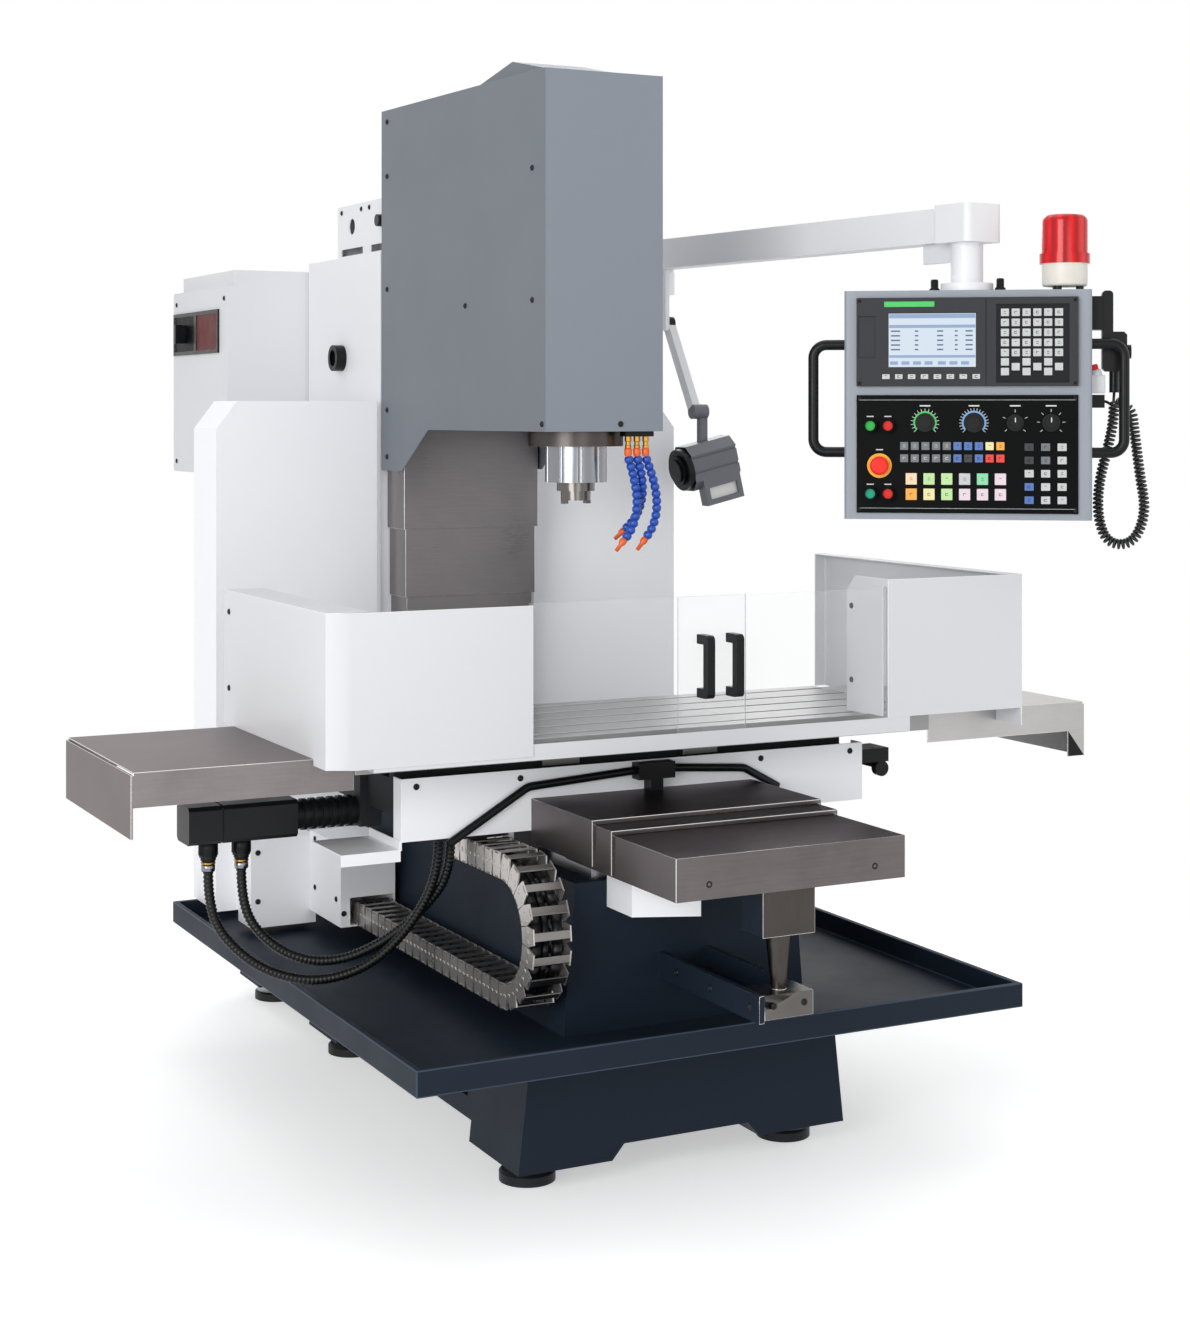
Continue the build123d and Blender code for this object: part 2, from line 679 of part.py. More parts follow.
def axis_motors():
    """Y motor in front of the bed and Z motor on top of the column."""
    y_motor = block(both(MOTOR_HALF), (BASE_FRONT - Y_MOTOR_LENGTH, BASE_FRONT), around(Y_SCREW_Z, MOTOR_HALF))
    z_motor = block(both(MOTOR_HALF), around(Z_SCREW_Y, MOTOR_HALF), (COLUMN_TOP, COLUMN_TOP + Z_MOTOR_LENGTH))
    edge = MOTOR_HALF / 5
    y_motor = chamfer(y_motor.edges().filter_by(Axis.Y), edge)
    z_motor = chamfer(z_motor.edges().filter_by(Axis.Z), edge)
    return [y_motor, z_motor]


def splash_panel(side):
    """Folded sheet beside the column, cut round the bed and chamfered at its outer top corner."""
    low = PEDESTAL_TOP + TRAY_HEIGHT
    bed_edge = BED_HALF_BOTTOM + SPLASH_BED_GAP
    outline = [
        (SPLASH_OUTER, low),
        (bed_edge, low),
        (bed_edge, SPLASH_BED_TOP),
        (SPLASH_INNER, SPLASH_BED_TOP),
        (SPLASH_INNER, SPLASH_TOP),
        (SPLASH_OUTER - SPLASH_CHAMFER[0], SPLASH_TOP),
        (SPLASH_OUTER, SPLASH_TOP - SPLASH_CHAMFER[1]),
    ]
    front = (SPLASH_FRONT, SPLASH_FRONT + SHEET)
    panel = along_y([(side * x, z) for x, z in outline], front)
    inset = [
        (SPLASH_OUTER, low),
        (SPLASH_OUTER, SPLASH_TOP - SPLASH_CHAMFER[1]),
        (SPLASH_OUTER - SPLASH_CHAMFER[0], SPLASH_TOP),
        (SPLASH_OUTER - SPLASH_CHAMFER[0] - SHEET, SPLASH_TOP),
        (SPLASH_OUTER - SHEET, SPLASH_TOP - SPLASH_CHAMFER[1] - SHEET / 2),
        (SPLASH_OUTER - SHEET, low),
    ]
    panel += along_y([(side * x, z) for x, z in inset], (SPLASH_FRONT, SPLASH_FRONT + SPLASH_RETURN))
    inner = mirrored((SPLASH_INNER, SPLASH_INNER + SHEET), side)
    panel += block(inner, (SPLASH_FRONT, SPLASH_FRONT + SPLASH_INNER_RETURN), (SPLASH_BED_TOP, SPLASH_TOP))
    return panel


def cable_box():
    """Box on the left splash panel with a square inlet that takes the energy chain."""
    back = SPLASH_FRONT
    front = back - CABLE_BOX_DEPTH
    box = block(CABLE_BOX_X, (front, back), CABLE_BOX_Z)
    inlet_z = (CHAIN_LOWER_Z - INLET_SEAT - SHEET, INLET_TOP)
    inlet = sheet_box(INLET_X, (INLET_FRONT, front + SHEET), inlet_z, SHEET, ("left", "right", "top", "bottom", "back"))
    rim = block(INLET_X, (INLET_FRONT, INLET_FRONT + SHEET), inlet_z)
    rim -= block(
        (INLET_X[0] + 2 * INLET_EDGE, INLET_X[1] - SHEET),
        (INLET_FRONT - OVERRUN, INLET_FRONT + SHEET + OVERRUN),
        (inlet_z[0] + SHEET, CHAIN_LOWER_Z + CHAIN_HEIGHT + INLET_EDGE),
    )
    return box + inlet + rim


def chip_deflector():
    """Bent sheet on the bed front, under the front way cover."""
    front = BASE_FRONT - DEFLECTOR_REACH
    plan = Polyline((DEFLECTOR_X[0], BASE_FRONT), (DEFLECTOR_X[0], front), (DEFLECTOR_X[1], front - DEFLECTOR_REACH / 2))
    sheet = extrude(trace(plan, SHEET), DEFLECTOR_Z[1] - DEFLECTOR_Z[0])
    return Pos(0, 0, DEFLECTOR_Z[0]) * sheet & block(
        (DEFLECTOR_X[0] - SHEET, DEFLECTOR_X[1]), (front - DEFLECTOR_REACH, BASE_FRONT), DEFLECTOR_Z
    )


# Energy chain: lower run on the left of the bed, a bend at the front, upper run under the saddle
CHAIN_X = (-400.0, -312.0)
CHAIN_HEIGHT = 54.0
CHAIN_LOWER_Z = 380.0
CHAIN_UPPER_TOP = 701.6
CHAIN_BEND_Y = -892.0
CHAIN_START_Y = -30.0
CHAIN_LINKS = 36
CHAIN_PLATE = 4.0
CHAIN_BAR = 12.0
CHAIN_BAR_THICK = 4.0
CHAIN_LINK_GAP = 0.5


def chain_place(distance):
    """Place and heading of the chain's middle line at a distance from its fixed end."""
    low = CHAIN_LOWER_Z + CHAIN_HEIGHT / 2
    high = CHAIN_UPPER_TOP - CHAIN_HEIGHT / 2
    radius = (high - low) / 2
    run = CHAIN_START_Y - CHAIN_BEND_Y
    arc = pi * radius
    if distance <= run:
        return CHAIN_START_Y - distance, low, 0.0
    if distance >= run + arc:
        return CHAIN_BEND_Y + distance - run - arc, high, 180.0
    turn = (distance - run) / radius
    return CHAIN_BEND_Y - radius * sin(turn), low + radius - radius * cos(turn), degrees(turn)


def chain_link(length):
    """One link: two pointed side plates and a bar across its inner and outer edge."""
    half = (length - CHAIN_LINK_GAP) / 2
    high = CHAIN_HEIGHT / 2
    shoulder = half * CHAIN_SHOULDER_SHARE
    plate = [(-half, 0), (-shoulder, -high), (shoulder, -high), (half, 0), (shoulder, high), (-shoulder, high)]
    link = along_x(plate, (CHAIN_X[0], CHAIN_X[0] + CHAIN_PLATE))
    link += along_x(plate, (CHAIN_X[1] - CHAIN_PLATE, CHAIN_X[1]))
    for side in SIDES:
        edge = mirrored((high - CHAIN_BAR_THICK, high), side)
        link += block(CHAIN_X, both(CHAIN_BAR / 2), edge)
    return link


CHAIN_SHOULDER_SHARE = 0.76


def drag_chain():
    """All links along the lower run, the bend and the upper run."""
    radius = (CHAIN_UPPER_TOP - CHAIN_LOWER_Z - CHAIN_HEIGHT) / 2
    length = (CHAIN_START_Y - CHAIN_BEND_Y) + pi * radius + (LUG_Y[1] - CHAIN_BEND_Y)
    pitch = length / CHAIN_LINKS
    link = chain_link(pitch)
    places = [chain_place((index + SIDES[1] / 2) * pitch) for index in range(CHAIN_LINKS)]
    return [Pos(0, y, z) * Rot(-turn, 0, 0) * link for y, z, turn in places]


# Electrical cabinet


def electrical_cabinet():
    """Cabinet shell open at the back, with its hood, switch plate, hinge knuckles and drive modules."""
    xs = both(CABINET_HALF)
    ys = (COLUMN_BACK, CABINET_BACK)
    shell = sheet_box(xs, ys, CABINET_Z, SHEET, ("left", "right", "front", "bottom", "top"))
    lip = block(xs, (CABINET_BACK - SHEET, CABINET_BACK), CABINET_Z)
    lip -= block(
        both(CABINET_HALF - CABINET_LIP),
        (CABINET_BACK - SHEET - OVERRUN, CABINET_BACK + OVERRUN),
        (CABINET_Z[0] + CABINET_LIP, CABINET_Z[1] - CABINET_LIP),
    )
    hood_y = (COLUMN_BACK, CABINET_BACK - CABINET_HOOD_INSET)
    hood = block(both(CABINET_HALF - CABINET_HOOD_INSET), hood_y, (CABINET_Z[1], CABINET_Z[1] + CABINET_HOOD))
    plate_x = (-CABINET_HALF - SWITCH_PLATE_THICK, -CABINET_HALF)
    plate = block(plate_x, SWITCH_PLATE_Y, SWITCH_PLATE_Z)
    middle = sum(SWITCH_PLATE_Y) / 2
    for span in ((SWITCH_PLATE_Y[0], middle), (middle, SWITCH_PLATE_Y[1])):
        plate -= block(
            (plate_x[0] - OVERRUN, plate_x[0] + SWITCH_RECESS),
            (span[0] + SWITCH_FRAME, span[1] - SWITCH_FRAME),
            (SWITCH_PLATE_Z[0] + SWITCH_FRAME, SWITCH_PLATE_Z[1] - SWITCH_FRAME),
        )
    cabinet = shell + lip + hood + plate
    module_z = CABINET_Z[0] + CABINET_LIP
    for x in spread(both(MODULE_PITCH * (MODULE_COUNT - 1) / 2), MODULE_COUNT):
        module_y = (COLUMN_BACK + SHEET, COLUMN_BACK + SHEET + MODULE_SIZE[1])
        cabinet += block(around(x, MODULE_SIZE[0] / 2), module_y, (module_z, module_z + MODULE_SIZE[2]))
    for z in hinge_places():
        cabinet += hinge_knuckle(z, (CABINET_BACK - HINGE_KNUCKLE, CABINET_BACK))
    return cabinet


def hinge_places():
    """Lower end of the fixed knuckle of each door hinge."""
    return (CABINET_Z[0] + HINGE_INSET, CABINET_Z[1] - HINGE_INSET - 2 * HINGE_KNUCKLE)


def hinge_axis():
    """Place of the door's hinge axis."""
    return (CABINET_HALF + HINGE_RADIUS, CABINET_BACK + HINGE_RADIUS / 2)


def hinge_knuckle(z, leaf_y):
    """Knuckle round the hinge axis with the leaf that carries it."""
    x, y = hinge_axis()
    zs = (z, z + HINGE_KNUCKLE)
    leaf = block((CABINET_HALF, CABINET_HALF + HINGE_LEAF), leaf_y, zs)
    return leaf + rod((x, y, z), UP, HINGE_RADIUS, HINGE_KNUCKLE)


def cabinet_door():
    """Overlay door at the back with its upper hinge knuckles and a pull handle."""
    front = CABINET_BACK + SEAT_GAP
    xs = both(CABINET_HALF - DOOR_MARGIN)
    zs = (CABINET_Z[0] + DOOR_MARGIN, CABINET_Z[1] - DOOR_MARGIN)
    door = block(xs, (front, front + DOOR_THICK), zs)
    x, y = hinge_axis()
    for z in hinge_places():
        top = z + HINGE_KNUCKLE + SEAT_GAP
        leaf_x = (xs[1] - HINGE_LEAF, x)
        door += block(leaf_x, (front, front + HINGE_LEAF), (top, top + HINGE_KNUCKLE))
        door += rod((x, y, top), UP, HINGE_RADIUS, HINGE_KNUCKLE)
    width, depth, height = DOOR_HANDLE
    back = front + DOOR_THICK
    handle_x = (xs[0] + DOOR_HANDLE_INSET, xs[0] + DOOR_HANDLE_INSET + width)
    handle = block(handle_x, (back, back + depth), around(sum(zs) / 2, height / 2))
    grip = block((handle_x[0] - OVERRUN, handle_x[1] + OVERRUN), (back - OVERRUN, back + depth - width / 2),
                 around(sum(zs) / 2, height / 2 - width))
    return door + (handle - grip)


def main_switch_knob():
    """Rotary handle in the rear half of the switch plate."""
    face = -CABINET_HALF - SWITCH_PLATE_THICK + SWITCH_RECESS - SEAT_GAP
    y = (sum(SWITCH_PLATE_Y) / 2 + SWITCH_PLATE_Y[1]) / 2
    z = sum(SWITCH_PLATE_Z) / 2
    knob = rod((face, y, z), LEFT, KNOB_RADIUS, KNOB_BASE)
    grip = block((face - KNOB_BASE - KNOB_GRIP[1], face - KNOB_BASE), around(y, KNOB_GRIP[0] / 2), around(z, KNOB_RADIUS))
    return knob + grip


def z_motor_cover():
    """Sheet box over the Z motor, open as a strip of windows above the column, with a gland and a round hole."""
    zs = (COLUMN_TOP, COLUMN_TOP + MOTOR_COVER_HEIGHT)
    cover = sheet_box(both(MOTOR_COVER_HALF), MOTOR_COVER_Y, zs, SHEET, ("left", "right", "front", "back", "top"))
    middle = sum(MOTOR_COVER_Y) / 2
    window_z = (zs[0] + MOTOR_COVER_WINDOW[0], zs[0] + MOTOR_COVER_WINDOW[1])
    past = MOTOR_COVER_HALF + OVERRUN
    for span in ((MOTOR_COVER_Y[0], middle), (middle, MOTOR_COVER_Y[1])):
        cover -= block(both(past), (span[0] + MOTOR_COVER_POST, span[1] - MOTOR_COVER_POST), window_z)
    high = (window_z[1] + zs[1]) / 2
    rear_y = (middle + MOTOR_COVER_Y[1]) / 2
    front_y = (middle + MOTOR_COVER_Y[0]) / 2
    cover -= rod((-past, rear_y, high), RIGHT, MOTOR_COVER_HOLE, SHEET + 2 * OVERRUN)
    gland = rod((-MOTOR_COVER_HALF, front_y, high), LEFT, MOTOR_COVER_GLAND, MOTOR_COVER_GLAND)
    return [cover, gland]


# Saddle


def bearing_block(xs, ys, rail, low, high):
    """Guide block over a rail that runs along Y: the rail's limits are cut out with clearance."""
    body = block(xs, ys, (low, high))
    groove = (rail[0] - GAP, rail[1] + GAP)
    past = (ys[0] - OVERRUN, ys[1] + OVERRUN)
    return body - block(groove, past, (low - OVERRUN, BED_TOP + RAIL_HEIGHT + GAP))


def saddle_casting():
    """Saddle slab on four feet with guide blocks, X rails, screw bearings, Y nut and the cable lug."""
    half = SADDLE_HALF - SADDLE_END_GAP
    slab = block(both(half), (SADDLE_NOSE, SADDLE_BACK), SADDLE_Z)
    for side in SIDES:
        pad = mirrored((SADDLE_PAD_INNER, half), side)
        slab += block(pad, (SADDLE_FRONT + SHEET, SADDLE_NOSE), SADDLE_Z)
        rail = around(side * Y_RAIL_X, RAIL_WIDTH / 2)
        foot = around(side * Y_RAIL_X, BLOCK_WIDTH / 2)
        for ys in SADDLE_FEET_Y:
            slab += bearing_block(foot, ys, rail, BED_TOP + BLOCK_UNDER, SADDLE_Z[0])
    lane = around(X_SCREW_Y, X_LANE_HALF)
    reach = X_TRAVEL_HALF + X_NUT_LENGTH / 2 + OVERRUN
    slab -= block(both(reach), lane, (SADDLE_Z[0] - OVERRUN, SADDLE_Z[1] + OVERRUN))
    for y in X_RAIL_Y:
        slab += block(both(half), around(y, X_RAIL_WIDTH / 2), (SADDLE_Z[1], SADDLE_Z[1] + X_RAIL_HEIGHT))
    bearing_y = around(X_SCREW_Y, X_BEARING_HALF)
    bearing_z = (X_SCREW_Z - X_BEARING_HALF, SADDLE_Z[0])
    slab += block((half - X_BEARING, half), bearing_y, bearing_z)
    slab += block((-SADDLE_HALF, -half + X_BEARING), bearing_y, (bearing_z[0], SADDLE_Z[1]))
    slab += block(both(NUT_RADIUS), Y_NUT_Y, (Y_SCREW_Z - NUT_RADIUS, SADDLE_Z[0]))
    slab += block(LUG_X, LUG_Y, (LUG_BOTTOM, SADDLE_Z[0]))
    bore = SCREW_RADIUS + RUNNING
    slab -= rod((0, Y_NUT_Y[0] - OVERRUN, Y_SCREW_Z), BACK, bore, Y_NUT_Y[1] - Y_NUT_Y[0] + 2 * OVERRUN)
    slab -= rod((x_screw_span()[0] - GAP, X_SCREW_Y, X_SCREW_Z), RIGHT, bore, half - x_screw_span()[0] + OVERRUN)
    return slab


def x_screw_span():
    """Ends of the X ball screw, inside the motor plate and the right bearing."""
    return (-SADDLE_HALF + OVERRUN, SADDLE_HALF - SADDLE_END_GAP)


def ball_screw(start, direction, radius, length):
    """Plain ball screw with turned-down end journals left at full size in its bearings."""
    return rod(start, direction, radius, length)


def saddle_cover():
    """Front sheet of the saddle, notched for the Y way covers, with side returns and the hose shelf."""
    panel = block(both(SADDLE_HALF), (SADDLE_FRONT, SADDLE_FRONT + SHEET), SADDLE_COVER_Z)
    notch = Y_COVER_MIDDLE["half"] + NOTCH_GAP
    notch_top = Y_COVER_MIDDLE["zs"][1] + NOTCH_GAP
    panel -= block(
        both(notch),
        (SADDLE_FRONT - OVERRUN, SADDLE_FRONT + SHEET + OVERRUN),
        (SADDLE_COVER_Z[0] - OVERRUN, notch_top),
    )
    for side in SIDES:
        wall = mirrored((SADDLE_HALF - SHEET, SADDLE_HALF), side)
        panel += block(wall, (SADDLE_FRONT, SADDLE_FRONT + SADDLE_RETURN), SADDLE_COVER_Z)
    wall_x = (-SADDLE_HALF - SHEET, -SADDLE_HALF)
    shelf = block(SHELF_X, SHELF_Y, (SHELF_Z, SHELF_Z + SHEET))
    shelf += block((SHELF_X[1] - SHEET, SHELF_X[1]), SHELF_Y, (SHELF_Z, SADDLE_COVER_Z[0] + SHEET))
    shelf += block(SHELF_X, (SHELF_Y[0], SHELF_Y[0] + SHEET), (SHELF_Z - SADDLE_RETURN / 2, SHELF_Z + SHEET))
    shelf += block((wall_x[1], wall_x[1] + SHEET), (SHELF_Y[0], SADDLE_FRONT + SADDLE_RETURN),
                   (SHELF_Z, SADDLE_COVER_Z[0] + SHEET))
    return panel + shelf


def x_motor():
    """X motor with its two plugs, and the ribbed coupling housing up to the saddle's motor plate."""
    motor_y = around(X_SCREW_Y, X_MOTOR_HALF_Y)
    motor_z = around(X_SCREW_Z, X_MOTOR_HALF_Z)
    motor = block(X_MOTOR_X, motor_y, motor_z)
    motor = chamfer(motor.edges().filter_by(Axis.X), X_MOTOR_HALF_Z / 5)
    wide, sunk = ENCODER_GROOVE
    groove_x = (X_MOTOR_X[0] + ENCODER_LENGTH, X_MOTOR_X[0] + ENCODER_LENGTH + wide)
    core_y, core_z = around(X_SCREW_Y, X_MOTOR_HALF_Y - sunk), around(X_SCREW_Z, X_MOTOR_HALF_Z - sunk)
    motor -= block(groove_x, motor_y, motor_z) - block(groove_x, core_y, core_z)
    length = -SADDLE_HALF - X_MOTOR_X[1]
    housing = rod((X_MOTOR_X[1], X_SCREW_Y, X_SCREW_Z), RIGHT, HOUSING_RADIUS, length)
    rib = length / (2 * HOUSING_RIBS)
    for index in range(HOUSING_RIBS):
        start = X_MOTOR_X[1] + 2 * rib * index
        housing += rod((start, X_SCREW_Y, X_SCREW_Z), RIGHT, HOUSING_RIB_RADIUS, rib)
    for x in PLUG_X:
        motor += rod((x, X_SCREW_Y, motor_z[0]), DOWN, PLUG_RADII[0], PLUG_LENGTHS[0])
        motor += rod((x, X_SCREW_Y, motor_z[0] - PLUG_LENGTHS[0]), DOWN, PLUG_RADII[1], PLUG_LENGTHS[1])
    return [motor, housing]


def hose_start():
    """Height where the hoses leave the motor's plugs."""
    return X_SCREW_Z - X_MOTOR_HALF_Z - sum(PLUG_LENGTHS)


# Middle points of the two motor hoses, which loop from the plugs to the cable lug
HOSE_LOOPS = (
    (
        (-880.0, -520.0, 500.0),
        (-800.0, -552.0, 425.0),
        (-690.0, -592.0, 396.0),
        (-580.0, -630.0, 430.0),
        (-500.0, -665.0, 520.0),
    ),
    (
        (-806.0, -520.0, 505.0),
        (-735.0, -548.0, 446.0),
        (-645.0, -580.0, 432.0),
        (-550.0, -622.0, 474.0),
        (-470.0, -665.0, 552.0),
    ),
)
HOSE_STRAIGHT = (65.0, 76.0)


def hose_route(plug_x, end_x, loop):
    """Route of one hose: straight out of its plug, round the loop, straight up to the lug."""
    start = (plug_x, X_SCREW_Y, hose_start())
    leave = (plug_x, X_SCREW_Y, hose_start() - HOSE_STRAIGHT[0])
    arrive = (end_x, HOSE_END_Y, LUG_BOTTOM - HOSE_STRAIGHT[1])
    return [start, leave, *loop, arrive, (end_x, HOSE_END_Y, LUG_BOTTOM)]


def cord_radii(points):
    """Arc radius at each inner point: as large as the two runs beside it allow."""
    radii = []
    for before, corner, after in zip(points, points[1:], points[2:]):
        runs = (Vector(corner) - Vector(before), Vector(after) - Vector(corner))
        turn = radians(runs[0].get_angle(runs[1]))
        radii.append(CORD_ARC_SHARE * min(runs[0].length, runs[1].length) / tan(turn / 2))
    return radii


CORD_ARC_SHARE = 0.45


def cord_tube(points, radius):
    """Round tube along a route of straight runs joined by tangent arcs."""
    radii = cord_radii(points)
    print("cord radii", [round(value) for value in radii])
    path = FilletPolyline(*points, radius=radii)
    start = Plane(points[0], z_dir=Vector(points[1]) - Vector(points[0]))
    tube = sweep(start * Circle(radius), path=path)
    print("cord volume over section times length", round(tube.volume / (pi * radius**2 * path.length), 4))
    return tube


def limit_switches():
    """Switch block on the saddle front with its two conduits, and the roller switch at the right end."""
    front = (SADDLE_FRONT - SWITCH_DEPTH, SADDLE_FRONT)
    body = block(SWITCH_X, front, SWITCH_Z)
    middle = sum(SWITCH_X) / 2
    foot = (SWITCH_Z[0] - SWITCH_FOOT[1], SWITCH_Z[0])
    body += block(around(middle, SWITCH_FOOT[0] / 2), front, foot)
    pieces = [body]
    y = SADDLE_FRONT - CONDUIT_RADIUS - SEAT_GAP
    starts = (SWITCH_X[0] - SEAT_GAP, SWITCH_X[1] + SEAT_GAP)
    for x, knee, end in zip(starts, CONDUIT_KNEES, CONDUIT_ENDS):
        points = [(x, y, SWITCH_Z[1] - 2 * CONDUIT_RADIUS)]
        points += [(knee[0], y, knee[1]), (end[0], y, end[1])]
        path = FilletPolyline(*points, radius=CONDUIT_BEND)
        start = Plane(points[0], z_dir=Vector(points[1]) - Vector(points[0]))
        pieces.append(sweep(start * Circle(CONDUIT_RADIUS), path=path))
    end_x = (SADDLE_HALF, SADDLE_HALF + END_SWITCH_X)
    end_switch = block(end_x, END_SWITCH_Y, END_SWITCH_Z)
    wheel_x = end_x[1] - ROLLER_RADIUS
    wheel_z = END_SWITCH_Z[0] - ROLLER_DROP + ROLLER_RADIUS
    end_switch += block(around(wheel_x, ROLLER_RADIUS / 2), END_SWITCH_Y, (wheel_z, END_SWITCH_Z[0]))
    end_switch += rod((wheel_x, END_SWITCH_Y[0], wheel_z), BACK, ROLLER_RADIUS, ROLLER_RADIUS)
    pieces.append(end_switch)
    return pieces


# Way covers


def y_cover(size, inner, front_wall=False):
    """U-shaped cover that runs along Y; a lip at its front edge wipes the next smaller section."""
    xs = both(size["half"])
    walls = ("left", "right", "top", "front") if front_wall else ("left", "right", "top")
    cover = sheet_box(xs, size["ys"], size["zs"], COVER_SHEET, walls)
    if inner is None:
        return cover
    lip_y = (size["ys"][0], size["ys"][0] + LIP_LENGTH)
    lip = block(xs, lip_y, size["zs"])
    lip -= block(
        both(inner["half"] + LIP_GAP),
        (lip_y[0] - OVERRUN, lip_y[1] + OVERRUN),
        (size["zs"][0] - OVERRUN, inner["zs"][1] + LIP_GAP),
    )
    return cover + lip


def z_cover(size, inner, back):
    """U-shaped cover on the column front; a lip at its lower edge wipes the next smaller section."""
    ys = (size["front"], back)
    cover = sheet_box(both(size["half"]), ys, size["zs"], COVER_SHEET, ("left", "right", "front"))
    if inner is None:
        return cover
    lip_z = (size["zs"][0], size["zs"][0] + LIP_LENGTH)
    lip = block(both(size["half"]), ys, lip_z)
    lip -= block(
        both(inner["half"] + LIP_GAP),
        (inner["front"] - LIP_GAP, back + OVERRUN),
        (lip_z[0] - OVERRUN, lip_z[1] + OVERRUN),
    )
    return cover + lip


def cover_support():
    """Jack under the front cover and the arm on the bed that carries it."""
    top = Y_COVER_FRONT["zs"][1] - COVER_SHEET
    middle = sum(JACK_Y) / 2
    jack = block(both(JACK_HALF), JACK_Y, (JACK_BOTTOM, top))
    jack += cone((0, middle, JACK_BOTTOM), DOWN, JACK_POST_RADII, JACK_POST_LENGTH)
    clamp_top = JACK_BOTTOM - JACK_POST_LENGTH
    clamp_z = (clamp_top - CLAMP_HEIGHT, clamp_top)
    jack += block(both(CLAMP_HALF), JACK_Y, clamp_z)
    arm_z = (clamp_z[0] - ARM_DROP, clamp_z[1])
    arm = block((-CLAMP_HALF - ARM_PLATE, -CLAMP_HALF), (JACK_Y[0], BASE_FRONT), arm_z)
    arm += block((-CLAMP_HALF - ARM_PLATE, CLAMP_HALF), (JACK_Y[1], BASE_FRONT), (arm_z[0], arm_z[0] + ARM_PLATE))
    arm += block((CLAMP_HALF - ARM_PLATE, CLAMP_HALF), (JACK_Y[1], BASE_FRONT), arm_z)
    return [jack, arm]


# Table
X_TRAVEL_HALF = 300.0


def table():
    """T-slot table with its guide blocks and the X nut bracket below."""
    plate = block(both(TABLE_HALF), TABLE_Y, TABLE_Z)
    pitch = (TABLE_Y[1] - TABLE_Y[0]) / T_SLOTS
    past = both(TABLE_HALF + OVERRUN)
    for index in range(T_SLOTS):
        y = TABLE_Y[0] + pitch * (index + SIDES[1] / 2)
        low = TABLE_Z[1] - T_SLOT_DEPTH
        plate -= block(past, around(y, T_SLOT_WIDTH / 2), (low, TABLE_Z[1] + OVERRUN))
        plate -= block(past, around(y, T_SLOT_HEAD / 2), (low, low + T_SLOT_HEAD_HEIGHT))
    for y in X_RAIL_Y:
        for side in SIDES:
            xs = mirrored(X_BLOCK_X, side)
            guide = block(xs, around(y, X_BLOCK_WIDTH / 2), (SADDLE_Z[1] + BLOCK_UNDER, TABLE_Z[0]))
            groove = around(y, X_RAIL_WIDTH / 2 + GAP)
            past_x = (xs[0] - OVERRUN, xs[1] + OVERRUN)
            guide -= block(past_x, groove, (SADDLE_Z[1], SADDLE_Z[1] + X_RAIL_HEIGHT + GAP))
            plate += guide
    nut_half = X_NUT_LENGTH / 2
    nut = rod((-nut_half, X_SCREW_Y, X_SCREW_Z), RIGHT, NUT_RADIUS, X_NUT_LENGTH)
    nut += block(both(nut_half), around(X_SCREW_Y, NUT_RADIUS), (X_SCREW_Z, TABLE_Z[0]))
    nut -= rod((-nut_half - OVERRUN, X_SCREW_Y, X_SCREW_Z), RIGHT, SCREW_RADIUS + RUNNING, X_NUT_LENGTH + 2 * OVERRUN)
    return plate + nut


def track_ribs():
    """Limits in Y of the two door lanes' ribs behind the trough's front wall."""
    first = TROUGH_FRONT + SHEET + 2 * GAP + DOOR_SHEET
    second = first + TRACK_RIB + 2 * GAP + DOOR_SHEET
    return ((first, first + TRACK_RIB), (second, second + TRACK_RIB))


def door_lane(index):
    """Limits in Y of the front (0) and rear (1) sliding door."""
    end = track_ribs()[index][0] - GAP
    return (end - DOOR_SHEET, end)


def trough():
    """Gutter along the table's front edge with the ribs that guide the doors."""
    ys = (TROUGH_FRONT, TABLE_Y[0])
    gutter = sheet_box(TROUGH_X, ys, TROUGH_Z, SHEET, ("front", "bottom"))
    rib_z = (TROUGH_Z[0] + SHEET, TROUGH_Z[0] + SHEET + TRACK_HEIGHT)
    for rib in track_ribs():
        gutter += block(TROUGH_X, rib, rib_z)
    return gutter


def guard_left():
    """Folded guard at the left end: wall on the way cover, chamfered corner, front panel, top flange."""
    front = TROUGH_FRONT - SHEET / 2
    wall_x = GUARD_LEFT + SHEET / 2
    plan = Polyline(
        (GUARD_LEFT_INNER, front),
        (wall_x + GUARD_CHAMFER[0], front),
        (wall_x, front + GUARD_CHAMFER[1]),
        (wall_x, GUARD_LEFT_BACK),
    )
    height = GUARD_LEFT_Z[1] - GUARD_LEFT_Z[0]
    guard = Pos(0, 0, GUARD_LEFT_Z[0]) * extrude(trace(plan, SHEET), height)
    past = (GUARD_LEFT - OVERRUN, GUARD_LEFT + GUARD_CHAMFER[0])
    guard -= block(past, (X_COVER_Y[0], GUARD_LEFT_BACK + OVERRUN), (GUARD_LEFT_Z[0] - OVERRUN, X_COVER_Z[1]))
    flange_y = (front + GUARD_CHAMFER[1], GUARD_LEFT_BACK)
    flange_z = (GUARD_LEFT_Z[1] - SHEET, GUARD_LEFT_Z[1])
    return guard + block((GUARD_LEFT, GUARD_LEFT + GUARD_LEFT_FLANGE), flange_y, flange_z)


